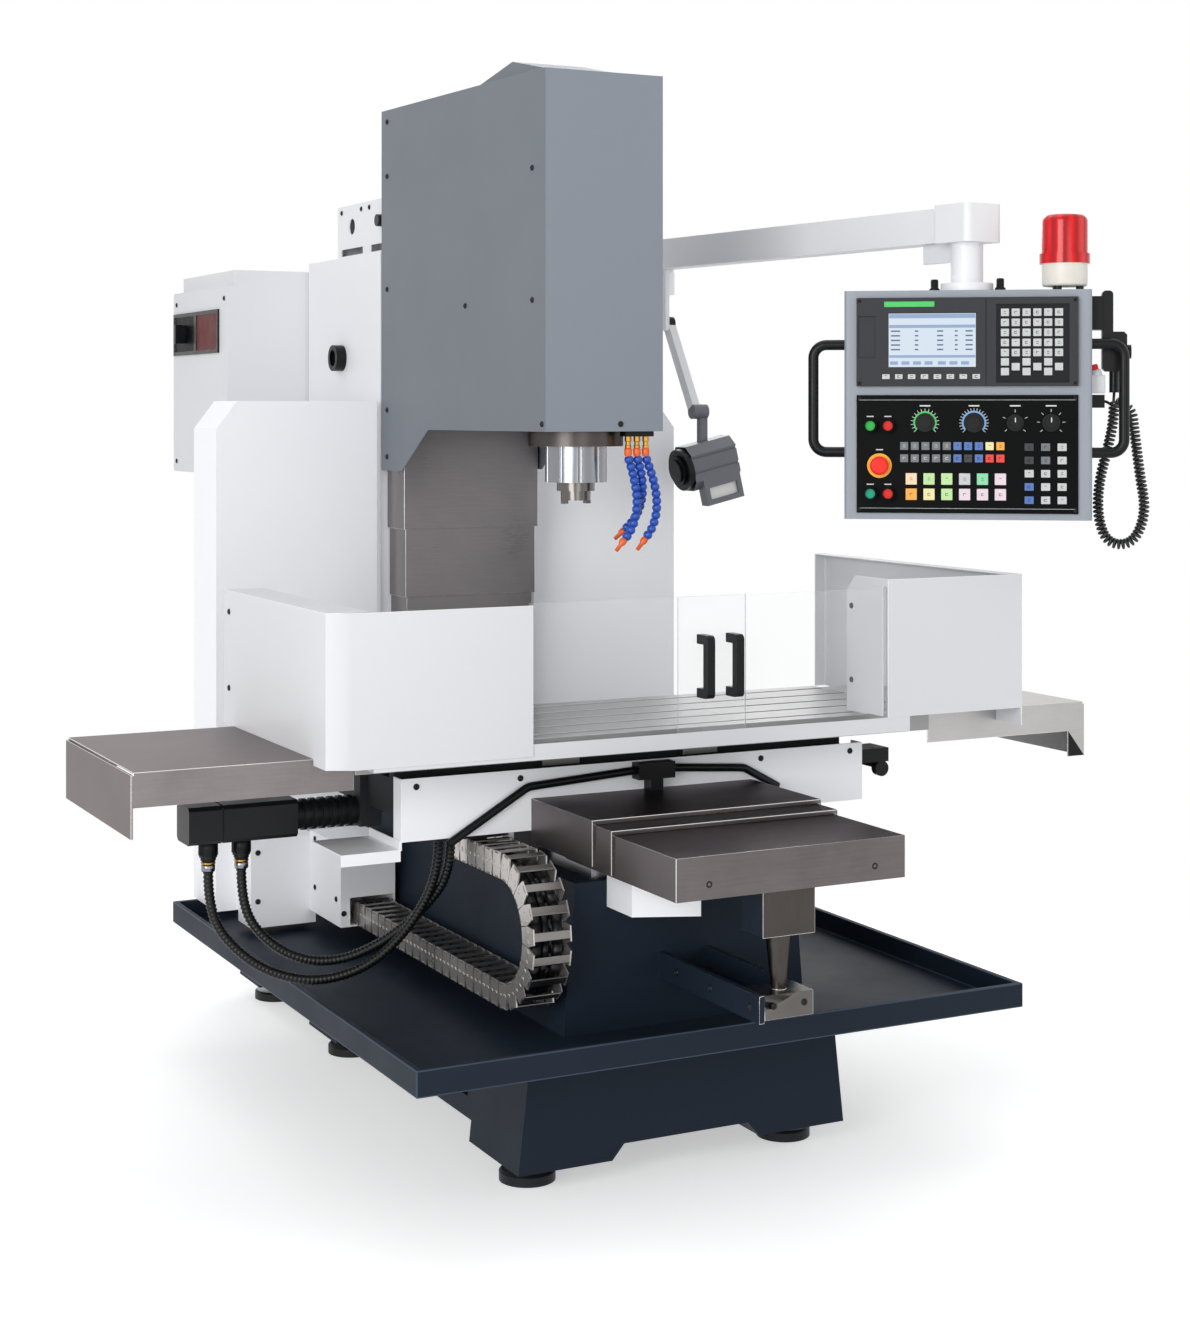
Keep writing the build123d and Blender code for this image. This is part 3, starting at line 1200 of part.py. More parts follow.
def guard_right():
    """Folded guard at the right end: front panel on the trough, wall on the way cover, return with a door gap."""
    front = (TROUGH_FRONT, TROUGH_FRONT + SHEET)
    top_z = (GUARD_RIGHT_TOP - SHEET, GUARD_RIGHT_TOP)
    panel_z = (TROUGH_Z[1], GUARD_RIGHT_TOP)
    guard = block((GUARD_RIGHT_INNER, GUARD_RIGHT), front, panel_z)
    wall_x = (GUARD_RIGHT - SHEET, GUARD_RIGHT)
    wall = block(wall_x, (front[0], GUARD_RIGHT_BACK), (GUARD_POST_BOTTOM, GUARD_RIGHT_TOP))
    under = (X_COVER_Y[0] - GAP, X_COVER_Y[1] + GAP)
    wall -= block((wall_x[0] - OVERRUN, wall_x[1] + OVERRUN), under, (GUARD_POST_BOTTOM - OVERRUN, X_COVER_Z[1]))
    flange_x = (GUARD_RIGHT - GUARD_RIGHT_FLANGE, GUARD_RIGHT)
    wall += block(flange_x, (front[0], GUARD_RIGHT_BACK), top_z)
    wall += block(flange_x, (GUARD_RIGHT_BACK - SHEET, GUARD_RIGHT_BACK), (GUARD_POST_BOTTOM, GUARD_RIGHT_TOP))
    door_back = track_ribs()[1][1]
    strip = DOOR_TOP + 2 * GAP + SHEET
    outline = [
        (front[0], GUARD_RIGHT_TOP),
        (RETURN_BACK - RETURN_CORNER, GUARD_RIGHT_TOP),
        (RETURN_BACK, GUARD_RIGHT_TOP - RETURN_CORNER),
        (RETURN_BACK, TABLE_Z[1]),
        (TABLE_Y[0], TABLE_Z[1]),
        (TABLE_Y[0], TROUGH_Z[1]),
        (door_back, TROUGH_Z[1]),
        (door_back, strip),
        (front[0], strip),
    ]
    return guard + wall + along_x(outline, (GUARD_RIGHT_INNER, GUARD_RIGHT_INNER + SHEET))


def x_covers():
    """Way cover and hanging end plate at each end of the table; the right plate ends in a square post."""
    covers = []
    for side in SIDES:
        xs = mirrored((TABLE_HALF, X_COVER_END), side)
        cover = sheet_box(xs, X_COVER_Y, X_COVER_Z, SHEET, ("front", "back", "top"))
        plate_x = mirrored((X_COVER_END, X_COVER_END + END_PLATE), side)
        cover += block(plate_x, X_COVER_Y, END_PLATE_Z)
        if side > 0:
            post_x = (X_COVER_END - END_POST, X_COVER_END + END_PLATE)
            cover += block(post_x, (X_COVER_Y[0], X_COVER_Y[0] + SHEET), (END_PLATE_Z[0], X_COVER_Z[0]))
        covers.append(cover)
    return covers


def sliding_door(xs, lane, handles=()):
    """Clear sheet in its lane, with bow handles on its front."""
    sheet = block(xs, lane, (TROUGH_Z[0] + SHEET + GAP, DOOR_TOP))
    width, depth = HANDLE_SECTION
    high = around(HANDLE_Z, HANDLE_HEIGHT / 2)
    bows = []
    for x in handles:
        bow = block(around(x, width / 2), (-HANDLE_REACH, 0), high)
        bow = fillet(bow.edges().filter_by(Axis.X).group_by(Axis.Y)[0], depth * DIAL_SHARE)
        bow -= block(around(x, width), (depth - HANDLE_REACH, OVERRUN), (high[0] + depth, high[1] - depth))
        bows.append(Pos(0, lane[0], 0) * bow)
    return [sheet, *bows]


# Head


def head_plan(inset):
    """Plan of the head, which widens from its front to its back, taken in by an inset."""
    front = HEAD_HALF_FRONT - inset
    rear = HEAD_HALF_REAR - inset
    return [(-front, HEAD_FRONT + inset), (front, HEAD_FRONT + inset), (rear, HEAD_REAR), (-rear, HEAD_REAR)]


def head_cover():
    """Sheet cover of the head: front, sides with a chamfered tab at the back, top with a low hood."""
    side = [
        (HEAD_FRONT - OVERRUN, HEAD_BOTTOM),
        (HEAD_TAB_Y[0], HEAD_BOTTOM),
        (HEAD_TAB_Y[1], HEAD_TAB_BOTTOM),
        (HEAD_REAR + OVERRUN, HEAD_TAB_BOTTOM),
        (HEAD_REAR + OVERRUN, HEAD_TOP),
        (HEAD_FRONT - OVERRUN, HEAD_TOP),
    ]
    past = HEAD_HALF_REAR + OVERRUN
    outer = along_z(head_plan(0), (HEAD_TAB_BOTTOM, HEAD_TOP)) & along_x(side, both(past))
    inner = along_z(head_plan(HEAD_SHEET), (HEAD_TAB_BOTTOM - OVERRUN, HEAD_TOP - HEAD_SHEET))
    opening = block(both(HEAD_HALF_REAR - HEAD_SHEET), (HEAD_REAR - HEAD_SHEET, HEAD_REAR + OVERRUN),
                    (HEAD_TAB_BOTTOM - OVERRUN, HEAD_TOP - HEAD_SHEET))
    hood = along_x([(HOOD_Y[0], HEAD_TOP), (HOOD_Y[1], HEAD_TOP + HOOD_RISE), (HOOD_Y[2], HEAD_TOP)], both(HOOD_HALF))
    return outer - inner - opening + hood


def head_casting():
    """Casting inside the cover: bottom plate, body, carriage with guide blocks and the Z nut."""
    plate_z = (HEAD_BOTTOM, HEAD_BOTTOM + PLATE_HEIGHT)
    inset = HEAD_SHEET + GAP
    plate = along_z(head_plan(inset), plate_z)
    plate -= block(both(HEAD_HALF_REAR), (CARRIAGE_Y[1], HEAD_REAR + OVERRUN), (plate_z[0] - OVERRUN, plate_z[1] + OVERRUN))
    casting = plate + block(both(CASTING_HALF), (CASTING_FRONT, CARRIAGE_Y[0]), (HEAD_BOTTOM, CASTING_TOP))
    casting += block(both(CARRIAGE_HALF), CARRIAGE_Y, (HEAD_BOTTOM, CARRIAGE_Z[1]))
    rail_front = COLUMN_FRONT - RAIL_HEIGHT
    for side in SIDES:
        xs = around(side * Z_RAIL_X, BLOCK_WIDTH / 2)
        groove = around(side * Z_RAIL_X, RAIL_WIDTH / 2 + GAP)
        for zs in Z_BLOCKS_Z:
            guide = block(xs, (CARRIAGE_Y[1], COLUMN_FRONT - BLOCK_UNDER), zs)
            past = (zs[0] - OVERRUN, zs[1] + OVERRUN)
            casting += guide - block(groove, (rail_front - GAP, COLUMN_FRONT), past)
    casting += block(both(Z_NUT_ARM_HALF), (CARRIAGE_Y[1], Z_SCREW_Y), Z_NUT_Z)
    casting += rod((0, Z_SCREW_Y, Z_NUT_Z[0]), UP, Z_NUT_ARM_HALF, Z_NUT_Z[1] - Z_NUT_Z[0])
    nut_height = Z_NUT_Z[1] - Z_NUT_Z[0] + 2 * OVERRUN
    casting -= rod((0, Z_SCREW_Y, Z_NUT_Z[0] - OVERRUN), UP, Z_SCREW_RADIUS + RUNNING, nut_height)
    bore_height = CASTING_TOP - HEAD_BOTTOM + 2 * OVERRUN
    casting -= rod((0, SPINDLE_Y, HEAD_BOTTOM - OVERRUN), UP, SHAFT_RADIUS + RUNNING, bore_height)
    return casting


def spindle_motor():
    """Motor on the head casting, above the spindle."""
    flange = block(both(SPINDLE_MOTOR_RADIUS), around(SPINDLE_Y, SPINDLE_MOTOR_RADIUS), (CASTING_TOP, CASTING_TOP + PLATE_HEIGHT))
    return flange + rod((0, SPINDLE_Y, CASTING_TOP), UP, SPINDLE_MOTOR_RADIUS, HEAD_TOP - MOTOR_HEADROOM - CASTING_TOP)


def spindle_housing():
    """Flange under the head and the fluted housing below it, bored for the spindle."""
    flange_low = HEAD_BOTTOM - FLANGE_HEIGHT
    body_low = flange_low - HOUSING_BODY_HEIGHT
    housing = rod((0, SPINDLE_Y, flange_low), UP, FLANGE_RADIUS, FLANGE_HEIGHT)
    housing += rod((0, SPINDLE_Y, body_low), UP, HOUSING_BODY_RADIUS, HOUSING_BODY_HEIGHT)
    ring = HOUSING_BODY_RADIUS + FLUTE_RADIUS / 2
    for index in range(FLUTES):
        turn = 2 * pi * index / FLUTES
        place = (ring * cos(turn), SPINDLE_Y + ring * sin(turn), body_low - OVERRUN)
        housing -= rod(place, UP, FLUTE_RADIUS, HOUSING_BODY_HEIGHT + OVERRUN)
    bore_height = HEAD_BOTTOM - body_low + 2 * OVERRUN
    return housing - rod((0, SPINDLE_Y, body_low - OVERRUN), UP, SHAFT_RADIUS + RUNNING, bore_height)


def spindle():
    """Spindle shaft with its stepped nose, drive keys and tool taper."""
    nose_top = HEAD_BOTTOM - FLANGE_HEIGHT - HOUSING_BODY_HEIGHT - SEAT_GAP
    step_top = nose_top - NOSE_HEIGHT
    face = step_top - NOSE_STEP_HEIGHT
    shaft = rod((0, SPINDLE_Y, nose_top), UP, SHAFT_RADIUS, SHAFT_TOP - nose_top)
    shaft += rod((0, SPINDLE_Y, step_top), UP, NOSE_RADIUS, NOSE_HEIGHT)
    shaft += rod((0, SPINDLE_Y, face), UP, NOSE_STEP_RADIUS, NOSE_STEP_HEIGHT)
    width, length, height = KEY_SIZE
    for side in SIDES:
        key_x = mirrored((NOSE_STEP_RADIUS - length, NOSE_STEP_RADIUS), side)
        shaft += block(key_x, around(SPINDLE_Y, width / 2), (face - height, face))
    small = TAPER_RADIUS - TAPER_DEPTH * TAPER_SHARE / 2
    return shaft - cone((0, SPINDLE_Y, face), UP, (TAPER_RADIUS, small), TAPER_DEPTH)


def hose_beads(start, lean, bend, back):
    """Socket, beads and nozzle of one jointed hose: it hangs down, leans out and then curves to the left and back."""
    place = Vector(*start)
    hose = rod(start, DOWN, SOCKET_RADIUS, SOCKET_LENGTH)
    place += Vector(*DOWN) * SOCKET_LENGTH
    radii = (NOZZLE_HOSE_RADIUS * BEAD_TAPER, NOZZLE_HOSE_RADIUS)
    for index in range(NOZZLE_BEADS):
        share = index / NOZZLE_BEADS
        turn = radians(lean + (bend - lean) * share**2)
        heading = Vector(-sin(turn), back * share, -cos(turn)).normalized()
        hose += cone(place, heading, radii, BEAD_PITCH + GAP)
        place += heading * BEAD_PITCH
    return [hose, cone(place + heading * (GAP + SEAT_GAP), heading, NOZZLE_TIP_RADII, NOZZLE_TIP_LENGTH)]


def coolant_nozzles():
    """Manifold under the head with its fittings, the three jointed hoses and their nozzles."""
    manifold = block(MANIFOLD_X, MANIFOLD_Y, (HEAD_BOTTOM - MANIFOLD_HEIGHT, HEAD_BOTTOM))
    middle = sum(MANIFOLD_Y) / 2
    low = HEAD_BOTTOM - MANIFOLD_HEIGHT
    for x in FITTING_X:
        manifold += rod((x, middle, low), DOWN, FITTING_RADIUS, FITTING_LENGTH)
    pieces = [manifold]
    for x, lean, bend, back in zip(FITTING_X, HOSE_LEANS, HOSE_BENDS, HOSE_BACKS):
        pieces += hose_beads((x, middle, low - FITTING_LENGTH), lean, bend, back)
    return pieces


# Swing arm and pendant


def arm_bracket():
    """Beam on the column's right side with the pivot pin of the arm, and the plate of the work light."""
    beam = block((COLUMN_HALF, PIVOT[0]), BRACKET_Y, BRACKET_Z)
    beam += rod((*PIVOT, BRACKET_Z[0]), UP, BOSS_RADIUS, BRACKET_Z[1] - BRACKET_Z[0])
    beam += rod((*PIVOT, BRACKET_Z[1]), UP, PIVOT_RADIUS, ARM_Z[1] - BRACKET_Z[1])
    plate = block(LIGHT_PLATE_X, LIGHT_PLATE_Y, (LIGHT_PLATE_BOTTOM, BRACKET_Z[1]))
    pin = rod((LIGHT_PLATE_X[1], *LIGHT_KNUCKLE), RIGHT, LIGHT_PIN_RADIUS, LIGHT_ARM_WIDTH)
    return beam + plate + pin


def swing_arm():
    """Arm from the pivot hub to the elbow box, with the post that carries the pendant."""
    reach = Vector(*ELBOW, 0) - Vector(*PIVOT, 0)
    heading = degrees(atan2(reach.Y, reach.X))
    hub_low = BRACKET_Z[1] + SEAT_GAP
    hub = rod((*PIVOT, hub_low), UP, HUB_RADIUS, ARM_Z[1] - hub_low)
    tube = Pos(*PIVOT, 0) * Rot(0, 0, heading) * block((0, reach.length), both(ARM_WIDTH / 2), ARM_Z)
    length, width, height = ELBOW_SIZE
    box = Box(length, width, height)
    box = fillet(box.edges().filter_by(Axis.Z), ELBOW_EDGE)
    box = Pos(*ELBOW, sum(ARM_Z) / 2) * Rot(0, 0, heading) * box
    post_low = PENDANT_BOTTOM + PENDANT_SIZE[2] + SWIVEL_HEIGHT + SEAT_GAP
    post = rod((*ELBOW, post_low), UP, POST_RADIUS, ARM_Z[0] - post_low)
    arm = hub + tube + box + post
    arm -= rod((*PIVOT, hub_low - OVERRUN), UP, PIVOT_RADIUS + RUNNING, ARM_Z[1] - hub_low + 2 * OVERRUN)
    pin_hole = SWIVEL_PIN + OVERRUN
    return arm - rod((*ELBOW, post_low - OVERRUN), UP, PIVOT_RADIUS + RUNNING, pin_hole + OVERRUN)


def at_pendant(piece):
    """Takes a piece from the pendant's own frame to its place under the elbow."""
    return Pos(*ELBOW, 0) * Rot(0, 0, PENDANT_YAW) * piece


def pendant_front():
    """Depth of the pendant's front face in its own frame."""
    return -PENDANT_SIZE[1] / 2


def pendant_box():
    """Box of the pendant with its swivel flange, handset holder and cord lug."""
    width, depth, height = PENDANT_SIZE
    zs = (PENDANT_BOTTOM, PENDANT_BOTTOM + height)
    box = block(both(width / 2), both(depth / 2), zs)
    box = fillet(box.edges().filter_by(Axis.Z), PENDANT_EDGE)
    box += rod((0, 0, zs[1]), UP, SWIVEL_RADIUS, SWIVEL_HEIGHT)
    box += rod((0, 0, zs[1]), UP, PIVOT_RADIUS, SWIVEL_HEIGHT + SWIVEL_PIN)
    side = width / 2
    box += block((side - SHEET, side + HOLDER_X), HOLDER_Y, HOLDER_Z)
    lug_x, lug_y, lug_z = CORD_LUG
    lug_span = (CORD_LUG_BOTTOM, CORD_LUG_BOTTOM + lug_z)
    box += block((side - SHEET, side + lug_x), around(CORD_LUG_Y, lug_y / 2), lug_span)
    return box


def display_unit():
    """Bezel with the recessed screen, card slot and keyboard field."""
    back = pendant_front()
    front = back - DISPLAY_DEPTH
    bezel = block(PANEL_X, (front, back), DISPLAY_Z)
    for xs, zs, deep in (
        (SCREEN_X, SCREEN_Z, SCREEN_RECESS),
        (CARD_SLOT_X, CARD_SLOT_Z, KEYBOARD_RECESS),
        (KEYBOARD_X, KEYBOARD_Z, KEYBOARD_RECESS),
    ):
        bezel -= block(xs, (front - OVERRUN, front + deep), zs)
    return bezel


def operator_face():
    """Depth of the operator panel's face."""
    return pendant_front() - OPERATOR_DEPTH


def operator_panel():
    """Black plate under the display with the collars of its push buttons and the ring of the stop button."""
    face = operator_face()
    plate = block(PANEL_X, (face, pendant_front()), OPERATOR_Z)
    for x in BUTTON_X:
        for z in BUTTON_Z:
            outer = BUTTON_RADIUS + GAP + COLLAR_WALL
            collar = rod((x, face, z), FRONT, outer, COLLAR_HEIGHT)
            plate += collar - rod((x, face, z), FRONT, BUTTON_RADIUS + GAP, COLLAR_HEIGHT + OVERRUN)
    x, z = STOP_PLACE
    ring = rod((x, face, z), FRONT, STOP_RING_RADIUS, STOP_RING_HEIGHT)
    well = rod((x, face + STOP_TRAVEL, z), FRONT, STOP_STEM_RADIUS + GAP, STOP_TRAVEL + STOP_RING_HEIGHT + OVERRUN)
    return plate + ring - well


def key(x, z, size, face):
    """One key on a panel face."""
    return block(around(x, size[0] / 2), (face - KEY_RISE, face), around(z, size[1] / 2))


def panel_keys():
    """Keyboard keys, soft keys and the operator panel's key groups."""
    board = pendant_front() - DISPLAY_DEPTH + KEYBOARD_RECESS
    bezel = pendant_front() - DISPLAY_DEPTH
    face = operator_face()
    columns = spread(MDI_COLUMNS_X, 6)
    keys = [key(x, z, MDI_KEY, board) for x in columns for z in spread(MDI_ROWS_Z, 5)]
    keys += [key(x, z, MDI_KEY, board) for x in columns[::2] for z in MDI_LOW_ROWS_Z]
    keys += [key(x, sum(MDI_LOW_ROWS_Z) / 2, MDI_KEY, board) for x in columns[1::2]]
    keys += [key(x, SOFT_KEYS_Z, SOFT_KEY, bezel) for x in spread(SOFT_KEYS_X, 8)]
    keys += [key(x, z, GRID_KEY, face) for x in spread(GRID_KEYS_X, 10) for z in GRID_KEYS_Z]
    wide = WIDE_KEYS_X[0], WIDE_KEYS_X[1]
    keys += [key(x, z, WIDE_KEY, face) for x in spread(wide, 6) for z in WIDE_KEYS_Z]
    keys += [key(x, z, SIDE_KEY, face) for x in spread(SIDE_KEYS_X, 3) for z in spread(SIDE_KEYS_Z, 5)]
    return keys


def push_button(x, z):
    """Round cap in its collar, with room for its travel."""
    back = operator_face() - BUTTON_TRAVEL - SEAT_GAP
    return rod((x, back, z), FRONT, BUTTON_RADIUS, BUTTON_RISE)


def stop_button():
    """Mushroom head on a stem that dips into its ring."""
    x, z = STOP_PLACE
    back = operator_face() - SEAT_GAP
    stem = rod((x, back, z), FRONT, STOP_STEM_RADIUS, STOP_HEIGHT / 2)
    head = rod((x, back - STOP_HEIGHT / 2, z), FRONT, STOP_HEAD_RADIUS, STOP_HEIGHT / 2)
    head = fillet(head.edges().group_by(Axis.Y)[0], STOP_HEIGHT / 4)
    return stem + head


def dial(x, radius):
    """Selector knob with a skirt and a raised pointer bar."""
    back = operator_face() - SEAT_GAP
    knob = rod((x, back, DIAL_Z), FRONT, radius, DIAL_SKIRT)
    knob += rod((x, back, DIAL_Z), FRONT, radius * DIAL_SHARE, DIAL_HEIGHT)
    bar = block(around(x, radius * DIAL_SHARE / 4), (back - DIAL_HEIGHT - GAP, back - DIAL_SKIRT), (DIAL_Z, DIAL_Z + radius * DIAL_SHARE))
    return knob + bar


def pendant_handles():
    """Bent tube handle on each side of the pendant."""
    handles = []
    for side in SIDES:
        wall = side * PENDANT_SIZE[0] / 2
        out = wall + side * TUBE_REACH
        low, high = TUBE_Z
        path = FilletPolyline(
            (wall, TUBE_Y, low), (out, TUBE_Y, low), (out, TUBE_Y, high), (wall, TUBE_Y, high), radius=TUBE_BEND
        )
        start = Plane((wall, TUBE_Y, low), z_dir=(side, 0, 0))
        handles.append(sweep(start * Circle(TUBE_RADIUS), path=path))
    return handles


def beacon():
    """Warning beacon: base on three feet on the pendant's top, and the domed lens with its collar."""
    low = PENDANT_BOTTOM + PENDANT_SIZE[2]
    base_low = low + BEACON_FOOT[1]
    base = rod((BEACON_X, BEACON_Y, base_low), UP, BEACON_RADIUS, BEACON_BASE_HEIGHT)
    base = fillet(base.edges().group_by(Axis.Z)[0], BEACON_EDGE)
    for index in range(BEACON_FEET):
        turn = 2 * pi * index / BEACON_FEET
        place = (BEACON_X + BEACON_FOOT_RING * cos(turn), BEACON_Y + BEACON_FOOT_RING * sin(turn), low)
        base += rod(place, UP, *BEACON_FOOT)
    lens_low = base_low + BEACON_BASE_HEIGHT
    lens = rod((BEACON_X, BEACON_Y, lens_low), UP, BEACON_LENS_RADIUS, BEACON_LENS_HEIGHT)
    lens = fillet(lens.edges().group_by(Axis.Z)[-1], BEACON_DOME)
    lens += rod((BEACON_X, BEACON_Y, lens_low), UP, COLLAR_RADIUS, COLLAR_HEIGHT)
    return [base, lens]


def handset():
    """Hand pulse unit on its holder: slim grip above a wider case with a dial and a button, cord relief below."""
    inner = PENDANT_SIZE[0] / 2 + HOLDER_X
    grip = block((inner, inner + GRIP_WIDTH), HANDSET_Y, GRIP_Z)
    grip = fillet(grip.edges().filter_by(Axis.Y).group_by(Axis.Z)[-1], GRIP_EDGE)
    case = block((inner, inner + CASE_WIDTH), HANDSET_Y, CASE_Z)
    case = chamfer(case.edges().filter_by(Axis.Y), CASE_EDGE)
    x = inner + CASE_WIDTH / 2
    y = sum(HANDSET_Y) / 2
    z = sum(CASE_Z) / 2
    body = grip + case + rod((inner + CASE_WIDTH, y, z), RIGHT, *HANDSET_DIAL)
    body += rod((x, HANDSET_Y[0], z), FRONT, *HANDSET_BUTTON)
    return body + rod((x, y, CASE_Z[0] - RELIEF_LENGTH), UP, RELIEF_RADIUS, RELIEF_LENGTH)


# Middle points of the coiled cord in the pendant's frame, from the handset down, round and up towards the cord lug
CORD_LOOP = (
    (318.0, 12.0, 1535.0),
    (297.0, 5.0, 1455.0),
    (294.0, 2.0, 1375.0),
    (316.0, 0.0, 1314.0),
    (374.0, 4.0, 1314.0),
    (403.0, 12.0, 1385.0),
    (390.0, 20.0, 1470.0),
    (380.0, 32.0, 1560.0),
    (372.0, 50.0, 1640.0),
)
CORD_STRAIGHT = 60.0


def cord_route():
    """Route of the cord: straight down from the handset, round the loop, level into the lug."""
    side = PENDANT_SIZE[0] / 2
    x = side + HOLDER_X + CASE_WIDTH / 2
    y = sum(HANDSET_Y) / 2
    low = CASE_Z[0] - RELIEF_LENGTH
    start = [(x, y, low), (x, y, low - CORD_STRAIGHT)]
    return start + list(CORD_LOOP) + [(side + CORD_LUG[0], CORD_LUG_Y, CORD_LUG_BOTTOM + CORD_LUG[2] / 2)]


# Work light


def light_arm():
    """Flat arm from the plate's pin to the lamp's knuckle."""
    x0 = LIGHT_PLATE_X[1] + SEAT_GAP
    xs = (x0, x0 + LIGHT_ARM_WIDTH - SEAT_GAP)
    top, low = LIGHT_KNUCKLE, LIGHT_ELBOW
    reach = (low[0] - top[0], low[1] - top[1])
    length = hypot(*reach)
    across = (-reach[1] / length * LIGHT_ARM_DEPTH / 2, reach[0] / length * LIGHT_ARM_DEPTH / 2)
    outline = [
        (top[0] + across[0], top[1] + across[1]),
        (low[0] + across[0], low[1] + across[1]),
        (low[0] - across[0], low[1] - across[1]),
        (top[0] - across[0], top[1] - across[1]),
    ]
    arm = along_x(outline, xs)
    for place in (top, low):
        arm += rod((xs[0], *place), RIGHT, LIGHT_HUB_RADIUS, xs[1] - xs[0])
    arm -= rod((xs[0] - OVERRUN, *top), RIGHT, LIGHT_PIN_RADIUS + RUNNING, xs[1] - xs[0] + 2 * OVERRUN)
    return arm + rod((xs[1], *low), RIGHT, LIGHT_PIN_RADIUS, LIGHT_ARM_WIDTH)


def lamp_head():
    """Flood lamp on its hub: grooved eight-sided body, round end cap on its left, and a framed glass below."""
    x0 = LIGHT_PLATE_X[1] + LIGHT_ARM_WIDTH + SEAT_GAP
    xs = (x0, x0 + LIGHT_ARM_WIDTH - SEAT_GAP)
    y, z = LIGHT_ELBOW
    hub = rod((xs[0], y, z), RIGHT, LIGHT_HUB_RADIUS, xs[1] - xs[0])
    hub += block(xs, around(y, LIGHT_HUB_RADIUS / 2), (z - LAMP_DROP, z))
    hub -= rod((xs[0] - OVERRUN, y, z), RIGHT, LIGHT_PIN_RADIUS + RUNNING, xs[1] - xs[0] + 2 * OVERRUN)
    deep, high, cut = LAMP_HALF_DEPTH, LAMP_HALF_HEIGHT, LAMP_CUT
    half = LAMP_LENGTH / 2
    body = block(both(half), both(deep), both(high))
    body = chamfer(body.edges().filter_by(Axis.X), cut)
    wide, sunk = LAMP_GROOVE
    for groove_z in LAMP_GROOVES_Z:
        for side in SIDES:
            ys = mirrored((deep - sunk, deep + OVERRUN), side)
            body -= block(both(half + OVERRUN), ys, (groove_z, groove_z + wide))
    start = -half
    for radius, thick in (LAMP_CAP, LAMP_RING, LAMP_DISC):
        body += rod((start, 0, 0), LEFT, radius, thick)
        start -= thick
    frame_z = (-high - LAMP_FRAME_HEIGHT, cut - high)
    frame_y = (-deep, LAMP_FRAME_DEPTH - deep)
    bar = LAMP_FRAME_BAR
    window_x = (LAMP_FRAME_X[0] + bar, LAMP_FRAME_X[1] - bar)
    window_z = (frame_z[0] + bar, -high)
    frame = block(LAMP_FRAME_X, frame_y, frame_z)
    frame -= block(window_x, (frame_y[0] - OVERRUN, frame_y[1] + OVERRUN), window_z)
    glass = block(window_x, (frame_y[0] + LAMP_GLASS_INSET, frame_y[1] - LAMP_GLASS_INSET), window_z)
    lamp = Pos(sum(xs) / 2 + LAMP_SHIFT, y, z - LAMP_DROP) * Rot(0, LAMP_TILT, 0) * (body + frame + glass)
    return hub + lamp


def save_base():
    """Everything that stands still."""
    save("base_casting", base_casting(), *guide_rails("y"))
    save("levelling_feet", *levelling_feet())
    save("drip_tray", drip_tray())
    save("column", *column(), *guide_rails("z"))
    save("axis_motors", *axis_motors())
    save("splash_panels", splash_panel(-1), splash_panel(1), cable_box(), chip_deflector())
    save("drag_chain", *drag_chain())
    save("electrical_cabinet", electrical_cabinet())
    save("z_motor_cover", *z_motor_cover())
    save("y_cover_front", y_cover(Y_COVER_FRONT, None, front_wall=True))
    save("cover_support", *cover_support())
    save("z_cover_lower", z_cover(Z_COVER_LOWER, None, COLUMN_FRONT))
    save("arm_bracket", arm_bracket())


def save_axes():
    """Saddle, table and head with what rides on them."""
    save("saddle_casting", saddle_casting())
    save("saddle_cover", saddle_cover())
    save("x_motor", *x_motor())
    routes = [hose_route(*ends) for ends in zip(PLUG_X, HOSE_END_X, HOSE_LOOPS)]
    save("motor_hoses", *[cord_tube(route, HOSE_RADIUS) for route in routes])
    save("limit_switches", *limit_switches())
    save("y_cover_rear", y_cover(Y_COVER_REAR, Y_COVER_MIDDLE))
    save("y_cover_middle", y_cover(Y_COVER_MIDDLE, Y_COVER_FRONT))
    save("table", table())
    save("trough", trough())
    save("guard_left", guard_left())
    save("guard_right", guard_right())
    save("x_covers", *x_covers())
    save("door_left", *sliding_door(DOOR_LEFT_X, door_lane(1)))
    save("door_right", *sliding_door(DOOR_RIGHT_X, door_lane(0), HANDLE_X))
    save("head_cover", head_cover())
    save("head_casting", head_casting())
    save("spindle_motor", spindle_motor())
    save("spindle_housing", spindle_housing())
    save("spindle", spindle())
    save("z_cover_upper", z_cover(Z_COVER_UPPER, Z_COVER_MIDDLE, Z_COVER_BACK))
    save("z_cover_middle", z_cover(Z_COVER_MIDDLE, Z_COVER_LOWER, Z_COVER_BACK))
    save("coolant_nozzles", *coolant_nozzles())


def save_screws():
    """Ball screws of the three axes."""
    x_span = x_screw_span()
    save("x_ball_screw", ball_screw((x_span[0], X_SCREW_Y, X_SCREW_Z), RIGHT, SCREW_RADIUS, x_span[1] - x_span[0]))
    y_span = Y_SCREW_SPAN
    save("y_ball_screw", ball_screw((0, y_span[0], Y_SCREW_Z), BACK, SCREW_RADIUS, y_span[1] - y_span[0]))
    z_span = Z_SCREW_SPAN
    save("z_ball_screw", ball_screw((0, Z_SCREW_Y, z_span[0]), UP, Z_SCREW_RADIUS, z_span[1] - z_span[0]))


